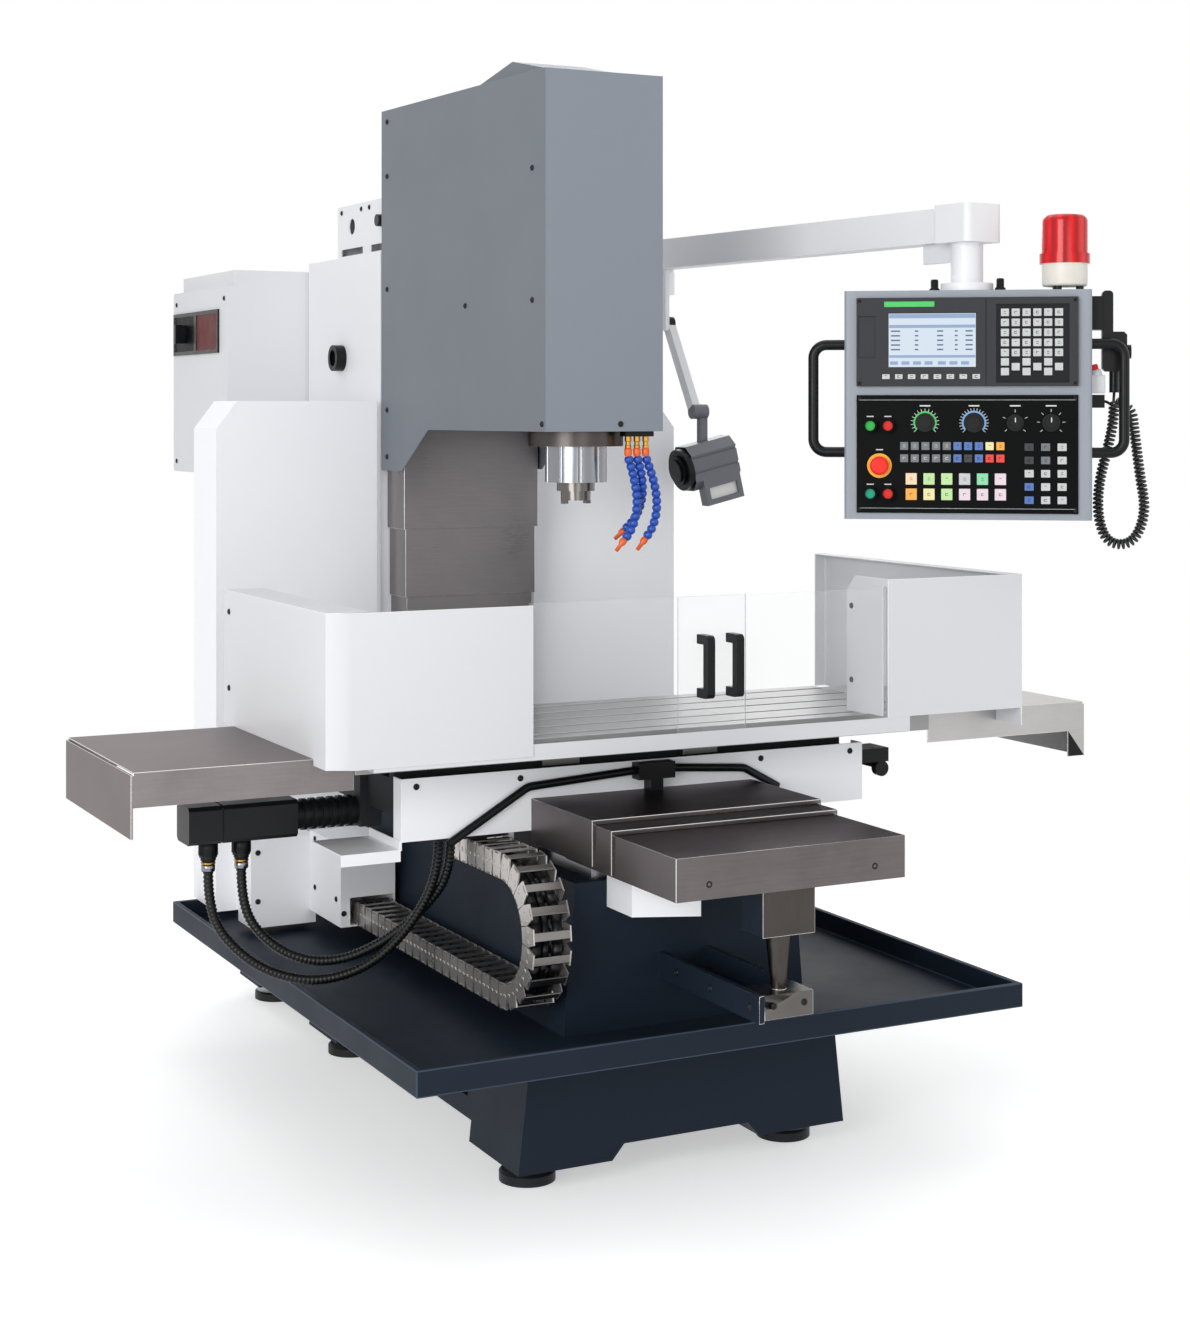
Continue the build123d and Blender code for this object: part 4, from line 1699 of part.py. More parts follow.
def save_controls():
    """Cabinet door and switch, arm, pendant with its controls, and the work light."""
    save("cabinet_door", cabinet_door())
    save("main_switch_knob", main_switch_knob())
    save("swing_arm", swing_arm())
    save("pendant_box", at_pendant(pendant_box()))
    save("display_unit", at_pendant(display_unit()))
    save("operator_panel", at_pendant(operator_panel()))
    save("panel_keys", *[at_pendant(piece) for piece in panel_keys()])
    names = ("start_button", "stop_button", "ready_button", "reset_button")
    places = [(x, z) for z in BUTTON_Z for x in BUTTON_X]
    for name, place in zip(names, places):
        save(name, at_pendant(push_button(*place)))
    save("emergency_stop", at_pendant(stop_button()))
    for name, (x, radius) in DIALS.items():
        save(name, at_pendant(dial(x, radius)))
    save("pendant_handles", *[at_pendant(piece) for piece in pendant_handles()])
    save("beacon", *[at_pendant(piece) for piece in beacon()])
    save("handset", at_pendant(handset()))
    save("handset_cord", at_pendant(cord_tube(cord_route(), CORD_RADIUS)))
    save("light_arm", light_arm())
    save("lamp_head", lamp_head())


save_base()
save_axes()
save_screws()
save_controls()
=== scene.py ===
"""Finishes, cords, fasteners and panel details of a bed-type machining center, in metres in the CAD frame."""

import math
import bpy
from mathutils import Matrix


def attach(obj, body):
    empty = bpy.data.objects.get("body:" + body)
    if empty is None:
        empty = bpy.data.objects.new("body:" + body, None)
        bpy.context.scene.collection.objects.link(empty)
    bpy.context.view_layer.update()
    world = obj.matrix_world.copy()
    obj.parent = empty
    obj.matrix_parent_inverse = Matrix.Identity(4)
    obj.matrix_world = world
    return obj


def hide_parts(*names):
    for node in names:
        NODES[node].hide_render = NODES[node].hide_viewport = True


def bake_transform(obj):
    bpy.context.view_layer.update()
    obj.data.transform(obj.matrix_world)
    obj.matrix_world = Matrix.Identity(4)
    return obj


bl_info = {
    "name": "Machining Center Dresser",
    "version": (1, 0, 0),
    "blender": (4, 5, 0),
    "location": "View3D > Sidebar > Machine",
    "description": "Dresses the packed machining center and sets its stage",
    "category": "Object",
}

import bmesh
import bpy
from mathutils import Matrix, Vector

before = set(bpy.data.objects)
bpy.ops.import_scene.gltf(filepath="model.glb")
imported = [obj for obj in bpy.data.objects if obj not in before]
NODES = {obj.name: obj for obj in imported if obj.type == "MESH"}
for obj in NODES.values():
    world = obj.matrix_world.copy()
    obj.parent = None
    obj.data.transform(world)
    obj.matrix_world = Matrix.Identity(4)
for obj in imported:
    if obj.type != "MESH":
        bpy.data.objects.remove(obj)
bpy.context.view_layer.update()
MM = 0.001

# The pendant's own frame: x along its panel, y to its back, at the arm's elbow
PENDANT = Matrix.Translation((0.771, -0.916, 0)) @ Matrix.Rotation(math.radians(-36), 4, "Z")
PANEL_FACE = -0.071
BEZEL_FACE = -0.079
BEACON_AXIS = (0.221, 0.010, 0)
PANEL_OUT = PENDANT.to_3x3() @ Vector((0, -1, 0))

# The lamp's own frame: x along its body, tilted with it
LAMP = Matrix.Translation((0.659, 0.092, 1.478)) @ Matrix.Rotation(math.radians(-13), 4, "Y")


def linear(hex_colour):
    """Linear RGBA of an sRGB hex colour."""
    parts = [int(hex_colour[i : i + 2], 16) / 255 for i in (1, 3, 5)]
    return tuple(p / 12.92 if p <= 0.04045 else ((p + 0.055) / 1.055) ** 2.4 for p in parts) + (1.0,)


def shaded(colour, share):
    """The colour taken towards black (share below 1) or white (above 1)."""
    return tuple(min(1.0, c * share) for c in colour[:3]) + (1.0,)


def add(tree, kind, settings=None, links=None):
    """Adds a node: settings are its properties and socket values, links the sources of its sockets."""
    made = tree.nodes.new(kind)
    for key, value in (settings or {}).items():
        if isinstance(key, int) or key in made.inputs:
            made.inputs[key].default_value = value
        else:
            setattr(made, key, value)
    for key, source in (links or {}).items():
        tree.links.new(source, made.inputs[key])
    return made


# Finishes. Pattern scales are one over the real size in metres.

# Sizes of paint's mottling, stains on metal, plastic's clouding, wiping marks, flow in acrylic and display rows
CLOUD_MM, STAIN_MM, MOULD_MM, WIPE_MM, FLOW_MM, ROW_MM = 385.0, 200.0, 33.3, 333.0, 30.0, 1.9635


def blank(name):
    """A new material with an empty node tree, and the place that its patterns follow."""
    material = bpy.data.materials.new(name)
    material.use_nodes = True
    tree = material.node_tree
    tree.nodes.clear()
    return material, tree, add(tree, "ShaderNodeTexCoord").outputs["Object"]


def noise(tree, place, size_mm, detail, rough=0.5):
    """Noise of a given size."""
    settings = {"Scale": 1 / (size_mm * MM), "Detail": detail, "Roughness": rough}
    return add(tree, "ShaderNodeTexNoise", settings, {"Vector": place}).outputs["Fac"]


def moved(tree, place, settings):
    """The place after it is shifted, turned or stretched."""
    return add(tree, "ShaderNodeMapping", settings, {"Vector": place}).outputs[0]


def maths(tree, operation, *values):
    """Result of a maths node on numbers and sockets."""
    settings, links = {"operation": operation}, {}
    for index, value in enumerate(values):
        (settings if isinstance(value, float) else links)[index] = value
    return add(tree, "ShaderNodeMath", settings, links).outputs[0]


def tinted(tree, colour, low, high, share):
    """The colour between two shares of itself."""
    settings = {"data_type": "RGBA", 6: shaded(colour, low), 7: shaded(colour, high)}
    return add(tree, "ShaderNodeMix", settings, {0: share}).outputs[2]


def ranged(tree, value, start, end, low=0.0, high=1.0, kind="LINEAR"):
    """The value taken from one range to another."""
    settings = {"interpolation_type": kind, "From Min": start, "From Max": end, "To Min": low, "To Max": high}
    return add(tree, "ShaderNodeMapRange", settings, {"Value": value}).outputs[0]


def relief(tree, height, strength, depth_mm):
    """Bumps as high as a pattern says."""
    settings = {"Strength": strength, "Distance": depth_mm * MM}
    return add(tree, "ShaderNodeBump", settings, {"Height": height}).outputs[0]


def surfaced(material, settings, links):
    """The material with its surface as the last step."""
    tree = material.node_tree
    skin = add(tree, "ShaderNodeBsdfPrincipled", settings, links)
    add(tree, "ShaderNodeOutputMaterial", links={"Surface": skin.outputs[0]})
    return material


def enamel(name, colour, rough, peel_mm, relief_mm, mottle=0.05, shine=0.5):
    """Sprayed and baked enamel: an even coat whose orange peel breaks up the highlights, duller where handled."""
    material, tree, place = blank(name)
    cloud = noise(tree, place, CLOUD_MM, 5.0, 0.6)
    links = {
        "Base Color": tinted(tree, colour, 1 - mottle, 1 + mottle, cloud),
        "Roughness": ranged(tree, cloud, 0.35, 0.65, rough - 0.05, rough + 0.07),
        "Normal": relief(tree, noise(tree, place, peel_mm, 2.0), 0.6, relief_mm),
    }
    return surfaced(material, {"IOR": 1.5, "Specular IOR Level": shine}, links)


def bare_metal(name, colour, rough, stretch, line_mm, contrast, metal=1.0, relief_mm=0.4, edge="#FFFFFF"):
    """Bare metal with fine tool lines one way and faint stains, so highlights streak across the lines."""
    material, tree, place = blank(name)
    lines = noise(tree, moved(tree, place, {"Scale": stretch}), line_mm, 4.0, 0.65)
    worn = maths(tree, "MULTIPLY_ADD", lines, 0.55, noise(tree, place, STAIN_MM, 6.0, 0.6))
    links = {
        "Base Color": tinted(tree, colour, 1 - contrast, 1 + contrast, worn),
        "Roughness": ranged(tree, worn, 0.4, 1.1, rough - 0.08, rough + 0.12),
        "Normal": relief(tree, lines, 0.25, relief_mm),
    }
    return surfaced(material, {"Metallic": metal, "Specular Tint": linear(edge)}, links)


def moulded(name, colour, rough, grain_mm=1.2, relief_mm=0.05, shine=0.5, painted_glow=0.0):
    """Moulded plastic or rubber: the tool's fine spark grain, slightly uneven gloss, and an optional faint painted
    glow.
    """
    material, tree, place = blank(name)
    cloud = noise(tree, place, MOULD_MM, 3.0)
    # The emission is a faint painted glow that brightens keys, button caps and printed marks
    settings = {"IOR": 1.5, "Specular IOR Level": shine, "Emission Color": colour, "Emission Strength": painted_glow}
    links = {
        "Base Color": tinted(tree, colour, 0.93, 1.06, cloud),
        "Roughness": ranged(tree, cloud, 0.3, 0.7, rough - 0.04, rough + 0.06),
        "Normal": relief(tree, noise(tree, place, grain_mm, 2.0), 0.4, relief_mm),
    }
    return surfaced(material, settings, links)


def clear_sheet(name, colour, alpha, rough):
    """Clear polycarbonate: nearly invisible square on, with soft wiping marks in its gloss."""
    material, tree, place = blank(name)
    wiped = moved(tree, place, {"Scale": (4.0, 1.0, 14.0), "Rotation": (0, 0.5, 0)})
    gloss = ranged(tree, noise(tree, wiped, WIPE_MM, 4.0), 0.0, 1.0, rough, rough + 0.12)
    return surfaced(material, {"Base Color": colour, "IOR": 1.58, "Alpha": alpha}, {"Roughness": gloss})


def lit(name, colour, strength):
    """Lit part of a display: even light with the fine rows of its cells."""
    material, tree, place = blank(name)
    wave = {"bands_direction": "Z", "Scale": math.pi / (10 * ROW_MM * MM)}
    rows = add(tree, "ShaderNodeTexWave", wave, {"Vector": place}).outputs["Fac"]
    settings = {"Base Color": linear("#19191C"), "Roughness": 0.18, "Emission Strength": strength}
    return surfaced(material, settings, {"Emission Color": tinted(tree, colour, 0.94, 1.0, rows)})


def red_lens(name, colour, axis, ribs):
    """Injected acrylic: deep red, with painted highlights: brighter bands at the upright ribs inside it, standing in
    for the light those ribs gather.
    """
    material, tree, place = blank(name)
    centred = moved(tree, place, {"Location": (-axis.x, -axis.y, 0)})
    around = add(tree, "ShaderNodeTexGradient", {"gradient_type": "RADIAL"}, {"Vector": centred}).outputs["Fac"]
    # Brighter bands painted at each rib: painted highlights
    bands = maths(tree, "SINE", maths(tree, "MULTIPLY", around, 2 * math.pi * ribs))
    uneven = maths(tree, "MULTIPLY_ADD", noise(tree, place, FLOW_MM, 2.0), 0.9, bands)
    tint = tinted(tree, colour, 0.66, 1.12, ranged(tree, uneven, -0.3, 1.4, kind="SMOOTHSTEP"))
    settings = {"Roughness": 0.12, "IOR": 1.49, "Specular IOR Level": 0.35, "Emission Strength": 0.12}
    return surfaced(material, settings, {"Base Color": tint, "Emission Color": tint})


EVEN, ALONG_X, ALONG_Z, AROUND_Z = (1.0, 1.0, 1.0), (0.03, 1.0, 1.0), (1.0, 1.0, 0.03), (1.0, 1.0, 40.0)

# Each finish: material's name, colour as hex or as a share of a main colour, and the maker's other values in order
ENAMELS = {
    "navy": ("textured_navy_enamel", ("base", 1.0), 0.5, 5.0, 0.5, 0.1, 0.12),
    # Lighter edge finishes for rounded edges: painted highlights along the edges, with rubbed wear as well on the navy
    # and grey paint
    "navy_edge": ("rubbed_navy_edge", "#3A4656", 0.45, 5.0, 0.2, 0.25, 0.2),
    # One white powder coat in three copies: an even one; a lighter one (share 1.17) as painted light on the splash
    # panels, saddle cover and arm bracket, which stand in shade; and a darker one (share 0.88) as painted shade on the
    # guards, cabinet and trough
    "white": ("white_powder_coat", ("panels", 1.0), 0.38, 7.0, 0.15, 0.012),
    "white_painted_light_copy": ("white_splash_coat", ("panels", 1.17), 0.38, 7.0, 0.15, 0.012),
    "white_guard": ("white_guard_coat", ("panels", 0.88), 0.38, 7.0, 0.15, 0.012),
    # A painted highlight along the white panels' rounded edges
    "white_edge": ("rubbed_white_edge", "#F2F3F5", 0.3, 7.0, 0.1, 0.01),
    # The head cover's grey comes in two copies: a lighter one (share 1.07) on its front and top as painted light, and
    # a darker one (share 0.7) on its side faces as painted shade
    "grey": ("grey_textured_enamel", ("head", 1.07), 0.45, 4.0, 0.25, 0.03),
    "grey_side": ("grey_side_enamel", ("head", 0.7), 0.45, 4.0, 0.25, 0.03),
    "grey_edge": ("rubbed_grey_edge", "#9DA4AC", 0.38, 4.0, 0.15, 0.05),
    "frame_grey": ("pendant_grey_enamel", ("pendant", 1.0), 0.42, 6.0, 0.2, 0.03),
    "arm": ("arm_white_enamel", "#ECEDEF", 0.35, 7.0, 0.15, 0.015),
    "lamp_grey": ("lamp_grey_enamel", "#6E7077", 0.42, 4.0, 0.2, 0.05),
    "black": ("satin_black_enamel", "#1B1C1F", 0.42, 4.0, 0.3, 0.12, 0.25),
    "cast": ("painted_casting", "#2C2F33", 0.6, 6.0, 0.8, 0.15, 0.2),
}
METALS = {
    "cover": ("cold_rolled_cover_steel", ("covers", 1.0), 0.34, ALONG_X, 3.0, 0.42),
    # The way covers' tops are darker than their fronts: oil, and painted shade standing in for the dark reflections on
    # top
    "cover_top": ("oiled_cover_top", "#454143", 0.3, ALONG_X, 3.0, 0.35, 1.0, 0.4, "#CFCBCC"),
    # One rolled steel in two copies for the X cover: darker on its left half as painted shade, lighter on its right
    # half as painted light
    "cover_left": ("pale_rolled_cover_steel", "#7E7878", 0.34, ALONG_X, 3.0, 0.42, 1.0, 0.4, "#DAD6D6"),
    "cover_right_painted_light": ("bright_rolled_cover_steel", "#B2B1B0", 0.34, ALONG_X, 3.0, 0.2),
    "column_cover": ("rolled_column_cover_steel", "#7A7677", 0.3, ALONG_X, 2.6, 0.3),
    # A lighter finish for rounded steel edges: rubbed wear and a painted highlight
    "cover_edge": ("rubbed_cover_edge", "#D4D3D1", 0.22, EVEN, 3.0, 0.1),
    "chain": ("satin_chain_steel", "#BDB9B5", 0.28, EVEN, 6.0, 0.3, 0.85),
    "chain_stay": ("dull_stay_steel", "#85827F", 0.3, ALONG_X, 4.0, 0.3),
    "iron": ("ground_table_iron", "#929191", 0.36, ALONG_X, 2.0, 0.2),
    "steel": ("turned_steel", "#8A8C91", 0.2, AROUND_Z, 60.0, 0.08, 1.0, 0.04),
    "nose": ("oiled_spindle_steel", "#65625F", 0.2, AROUND_Z, 60.0, 0.3, 1.0, 0.04),
    "gun": ("oiled_dark_steel", "#4A4644", 0.3, ALONG_Z, 3.0, 0.4, 1.0, 0.4, "#B0ACAA"),
    "rail": ("ground_rail_steel", "#9C9DA0", 0.25, (1.0, 0.03, 0.03), 2.0, 0.1),
    "brass": ("turned_brass", "#B88A3E", 0.26, ALONG_Z, 2.0, 0.15),
}
PLASTICS = {
    "rubber": ("black_hose_rubber", "#0C0D0E", 0.36, 2.5, 0.15, 0.3),
    "cable": ("coiled_cable_jacket", "#17181A", 0.42, 2.0, 0.05),
    "grip": ("black_grip_plastic", "#0E0F11", 0.3, 1.5, 0.06, 0.22),
    "bezel": ("charcoal_bezel_plastic", "#3A3B3E", 0.5, 1.5, 0.12, 0.15),
    "foil": ("black_panel_foil", "#08090A", 0.4, 1.2, 0.04, 0.06),
    "well": ("dark_recess_plastic", "#1F2023", 0.55, 1.5, 0.1, 0.15),
    "cream": ("cream_base_plastic", "#E6E2D8", 0.4),
    "stop_ring": ("yellow_ring_plastic", "#F2B31C", 0.35),
    "blue_hose": ("blue_jointed_hose", "#2450B4", 0.28, 3.0, 0.05),
    "orange_nozzle": ("orange_nozzle_plastic", "#F0692A", 0.34),
    "switch_red": ("dark_red_window", "#5E1517", 0.4, 14.0, 0.3, 0.12),
    "mark": ("printed_white_marks", "#DADCDC", 0.5),
    # The printed green and blue marks take a faint painted glow
    "mark_green": ("printed_green_marks", "#43C05E", 0.5, 1.2, 0.05, 0.5, 0.1),
    "mark_blue": ("printed_blue_ring", "#6FA8DC", 0.5, 1.2, 0.05, 0.5, 0.1),
}
SHEETS = {
    "clear": ("clear_polycarbonate", "#EEF2F4", 0.06, 0.03),
    "clear_edge": ("sawn_polycarbonate_edge", "#B4BCC2", 0.6, 0.3),
    "lamp_glass": ("frosted_lamp_glass", "#F4F4F0", 0.92, 0.25),
}
DISPLAY = {
    "screen": ("display_ground", "#DDE9F7", 0.93),
    "screen_bar": ("display_bar", "#A9C4EA", 0.72),
    "screen_text": ("display_marks", "#6E86A6", 0.6),
}
# Colour, roughness and painted glow of the keys, and colour and painted glow of the button caps
KEYS = {
    "pale": ("#C6C9C8", 0.42, 0.0),
    "grey": ("#6C7276", 0.42, 0.0),
    "dark": ("#25282B", 0.42, 0.0),
    "blue": ("#4A6FB0", 0.4, 0.05),
    "red": ("#E0382C", 0.4, 0.08),
    "orange": ("#F0A63C", 0.4, 0.08),
    "yellow": ("#E9DFA4", 0.4, 0.05),
    "peach": ("#F2D3AE", 0.4, 0.05),
    "lime": ("#B9DF9C", 0.4, 0.05),
    "rose": ("#E4D2DA", 0.4, 0.03),
    "green": ("#86D2A2", 0.4, 0.06),
}
CAPS = {"green": ("#2DB84A", 0.2), "red": ("#E6281F", 0.16), "teal": ("#17A482", 0.16)}
FINISHES = {}


def make_finishes(colours):
    """All finishes of the machine, by name."""
    tables = ((enamel, ENAMELS), (bare_metal, METALS), (moulded, PLASTICS), (clear_sheet, SHEETS), (lit, DISPLAY))
    for maker, table in tables:
        for finish, (name, colour, *values) in table.items():
            known = isinstance(colour, str)
            colour = linear(colour) if known else shaded(getattr(colours, colour[0]), colour[1])
            FINISHES[finish] = maker(name, colour, *values)
    for key, (colour, rough, painted_glow) in KEYS.items():
        FINISHES[key + "_key"] = moulded(key + "_key_plastic", linear(colour), rough, painted_glow=painted_glow)
    for cap, (colour, painted_glow) in CAPS.items():
        FINISHES[cap + "_cap"] = moulded(cap + "_cap_plastic", linear(colour), 0.36, shine=0.25, painted_glow=painted_glow)
    FINISHES["lens"] = red_lens("red_acrylic_lens", linear("#CE1218"), PENDANT @ Vector(BEACON_AXIS), 12)


REPLACED = ("motor_hoses", "handset_cord", "drag_chain", "coolant_nozzles")


# CAD nodes


def paint(node, finish, *rules):
    """Gives a CAD node its finish, and other finishes to the faces that a rule on centre and normal picks."""
    mesh = NODES[node].data
    mesh.materials.clear()
    for name in (finish, *(name for _, name in rules)):
        mesh.materials.append(FINISHES[name])
    for face in mesh.polygons:
        face.material_index = 0
        for index, (test, _) in enumerate(rules, 1):
            if test(face.center, face.normal):
                face.material_index = index


def weld(piece):
    """Joins the corners that the CAD mesh keeps apart."""
    piece.modifiers.new("merge", "WELD").merge_threshold = 0.00001


def soften(node, width_mm, segments, worn):
    """Rounds the node's hard edges a little, as paint, deburring and moulding do, and can give the rounded edges a
    lighter finish: a painted highlight along them, with rubbed wear on some.
    """
    piece = NODES[node]
    weld(piece)
    edge = piece.modifiers.new("edge", "BEVEL")
    edge.width = width_mm * MM
    edge.segments = segments
    edge.limit_method = "ANGLE"
    edge.angle_limit = math.radians(35)
    edge.use_clamp_overlap = True
    # The edge finish is lighter: a painted highlight along the rounded edges
    if worn:
        piece.data.materials.append(FINISHES[worn])
        edge.material = len(piece.data.materials) - 1


FAR = 10.0


def where(home=Matrix.Identity(4), **ranges):
    """A rule that picks faces by ranges of their centre's x, y, z and distance from the middle plane (wide), in metres
    in a piece's own frame, and of their normal's parts, with no sign on nx and ny."""
    back = home.inverted()

    def test(c, n):
        x, y, z = back @ c
        seen = {"x": x, "y": y, "z": z, "wide": abs(x), "nx": abs(n.x), "ny": abs(n.y), "nz": n.z}
        return all(low < seen[key] < high for key, (low, high) in ranges.items())

    return test


def dress(table):
    """Gives the nodes of a table their finishes and rounds their edges."""
    for nodes, (finish, edges, *rules) in table.items():
        for node in nodes.split():
            paint(node, finish, *rules)
            if edges:
                soften(node, *edges)


def geometry_tree(name, inputs):
    """A Geometry Nodes tree with named inputs and a mesh as its result, and its inputs' sockets."""
    tree = bpy.data.node_groups.new(name, "GeometryNodeTree")
    for label, kind in inputs.items():
        tree.interface.new_socket(label, in_out="INPUT", socket_type="NodeSocket" + kind)
    tree.interface.new_socket("Mesh", in_out="OUTPUT", socket_type="NodeSocketGeometry")
    return tree, add(tree, "NodeGroupInput").outputs


def run_tree(piece, tree, values):
    """Adds a Geometry Nodes modifier to a piece, with its named inputs set."""
    modifier = piece.modifiers.new(tree.name, "NODES")
    modifier.node_group = tree
    for item in tree.interface.items_tree:
        if item.in_out == "INPUT" and item.name in values:
            modifier[item.identifier] = values[item.name]


def shading_tree():
    """Geometry Nodes tree that shades curved faces smooth and keeps every edge above an angle sharp."""
    tree, given = geometry_tree("smooth_below_angle", {"Mesh": "Geometry", "Angle": "Float"})
    faces = add(tree, "GeometryNodeSetShadeSmooth", {"domain": "FACE"}, {"Geometry": given["Mesh"]})
    bend = add(tree, "GeometryNodeInputMeshEdgeAngle").outputs["Unsigned Angle"]
    less = {"data_type": "FLOAT", "operation": "LESS_THAN"}
    below_it = add(tree, "FunctionNodeCompare", less, {0: bend, 1: given["Angle"]}).outputs[0]
    links = {"Geometry": faces.outputs[0], "Shade Smooth": below_it}
    edges = add(tree, "GeometryNodeSetShadeSmooth", {"domain": "EDGE"}, links)
    add(tree, "NodeGroupOutput", links={0: edges.outputs[0]})
    return tree


def shade(node):
    """Shades a CAD node's curved faces smooth, as the real ones are, with flat faces kept flat."""
    piece = NODES[node]
    rounded = "edge" in piece.modifiers
    if not rounded:
        weld(piece)
    tree = bpy.data.node_groups.get("smooth_below_angle") or shading_tree()
    run_tree(piece, tree, {"Angle": math.radians(50 if rounded else 35)})
    if rounded:
        piece.modifiers.new("flats", "WEIGHTED_NORMAL").keep_sharp = True


# Settings


def colour_setting(name, text, hex_colour):
    """A colour in a settings group."""
    return bpy.props.FloatVectorProperty(
        name=name, description=text, subtype="COLOR", size=4, min=0, max=1, default=linear(hex_colour)
    )


def length_setting(name, text, default, low, high):
    """A length in a settings group, in metres."""
    return bpy.props.FloatProperty(name=name, description=text, default=default, min=low, max=high, unit="LENGTH")


class MachineColours(bpy.types.PropertyGroup):
    """Main colours of the machine."""

    base: colour_setting("Base", "Base casting and tray", "#1E2733")
    panels: colour_setting("Panels", "Sheet panels and column", "#E9EAED")
    head: colour_setting("Head", "Head cover", "#7F868F")
    pendant: colour_setting("Pendant", "Pendant frame", "#979DA6")
    covers: colour_setting("Covers", "Way covers", "#676162")


class FittingSizes(bpy.types.PropertyGroup):
    """Sizes of repeated fittings."""

    screw: length_setting("Screw head", "Radius of a cover screw's head", 0.007, 0.002, 0.02)
    coil: length_setting("Cord coil", "Radius of the coiled cord's turns", 0.0092, 0.004, 0.03)
    coil_pitch: length_setting("Coil pitch", "Distance between turns", 0.0096, 0.005, 0.03)
    rib_pitch: length_setting("Hose rib", "Distance between hose ribs", 0.009, 0.004, 0.03)


class StageSettings(bpy.types.PropertyGroup):
    """Camera and floor."""

    lens: bpy.props.FloatProperty(name="Lens", description="Focal length in mm", default=60.18, min=10, max=200)
    shift: bpy.props.FloatProperty(name="Shift", description="Shift of the frame", default=-0.18945, min=-1, max=1)
    turn: bpy.props.FloatProperty(
        name="Turn", description="Camera's turn to the right", default=math.radians(26.97), subtype="ANGLE"
    )
    place: bpy.props.FloatVectorProperty(
        name="Camera", description="Camera's place", default=(-2.3023, -5.0656, 1.61875), subtype="TRANSLATION"
    )
    floor: colour_setting("Floor", "Floor colour", "#EFEFEF")


# Meshes of new pieces


def object_from(name, bm, finishes=()):
    """Turns a bmesh into an object of the scene, with its finishes."""
    bmesh.ops.recalc_face_normals(bm, faces=bm.faces)
    mesh = bpy.data.meshes.new(name)
    bm.to_mesh(mesh)
    bm.free()
    for finish in finishes:
        mesh.materials.append(FINISHES[finish])
    made = bpy.data.objects.new(name, mesh)
    bpy.context.scene.collection.objects.link(made)
    return made


def piece_from(name, bm, finishes, body, transform=Matrix.Identity(4)):
    """Turns a bmesh into a piece on a body, with its finishes."""
    bmesh.ops.transform(bm, matrix=transform, verts=bm.verts)
    piece = object_from(name, bm, finishes)
    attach(piece, body)
    return piece


def box_into(bm, low, high, index=0, bevel=0.0, turn=Matrix.Identity(4)):
    """Adds a box between two corners, its edges rounded by the bevel and the whole turned."""
    middle = (Vector(low) + Vector(high)) / 2
    size = Vector(high) - Vector(low)
    shape = turn @ Matrix.Translation(middle) @ Matrix.Diagonal((*size, 1))
    verts = bmesh.ops.create_cube(bm, size=1.0, matrix=shape)["verts"]
    for face in {face for vert in verts for face in vert.link_faces}:
        face.material_index = index
    if bevel:
        edges = {edge for vert in verts for edge in vert.link_edges}
        bmesh.ops.bevel(bm, geom=list(edges), offset=bevel, segments=2, affect="EDGES", profile=0.5)


def circle(sides):
    """Cosine and sine of evenly spaced directions."""
    angles = [2 * math.pi * step / sides for step in range(sides)]
    return [(math.cos(angle), math.sin(angle)) for angle in angles]


def loft_into(bm, rings, index=0):
    """Adds a closed shape through rings of points, with smooth sides and flat ends."""
    rings = [[bm.verts.new(point) for point in ring] for ring in rings]
    for low, high in zip(rings, rings[1:]):
        for step in range(len(low)):
            after = (step + 1) % len(low)
            face = bm.faces.new((low[step], low[after], high[after], high[step]))
            face.material_index = index
            face.smooth = True
    for ring in (rings[0], rings[-1]):
        bm.faces.new(ring).material_index = index


def turned_into(bm, profile, matrix=Matrix.Identity(4), sides=16, index=0):
    """Adds a turned shape: a (radius, height) profile spun round Z and then placed."""
    loft_into(bm, [[matrix @ Vector((r * c, r * s, z)) for c, s in circle(sides)] for r, z in profile], index)


def repeat_tree():
    """Geometry Nodes tree that sets a template on points, turned to each point's facing and along directions."""
    inputs = {"Points": "Geometry", "Template": "Object", "Size": "Float", "Finish": "Material"}
    tree, given = geometry_tree("repeat_on_points", inputs)
    facing, along = (
        add(tree, "GeometryNodeInputNamedAttribute", {"data_type": "FLOAT_VECTOR", "Name": name}).outputs[0]
        for name in ("facing", "along")
    )
    upright = add(tree, "FunctionNodeAlignRotationToVector", {"axis": "Z"}, {"Vector": facing})
    about_z = {"axis": "X", "pivot_axis": "Z"}
    turned = add(
        tree, "FunctionNodeAlignRotationToVector", about_z, {"Rotation": upright.outputs[0], "Vector": along}
    )
    template = add(tree, "GeometryNodeObjectInfo", links={"Object": given["Template"]})
    links = {"Points": given["Points"], "Instance": template.outputs["Geometry"]}
    links.update({"Rotation": turned.outputs[0], "Scale": given["Size"]})
    placed = add(tree, "GeometryNodeInstanceOnPoints", links=links)
    real = add(tree, "GeometryNodeRealizeInstances", links={"Geometry": placed.outputs[0]})
    links = {"Geometry": real.outputs[0], "Material": given["Finish"]}
    finished = add(tree, "GeometryNodeSetMaterial", links=links)
    add(tree, "NodeGroupOutput", links={0: finished.outputs[0]})
    return tree


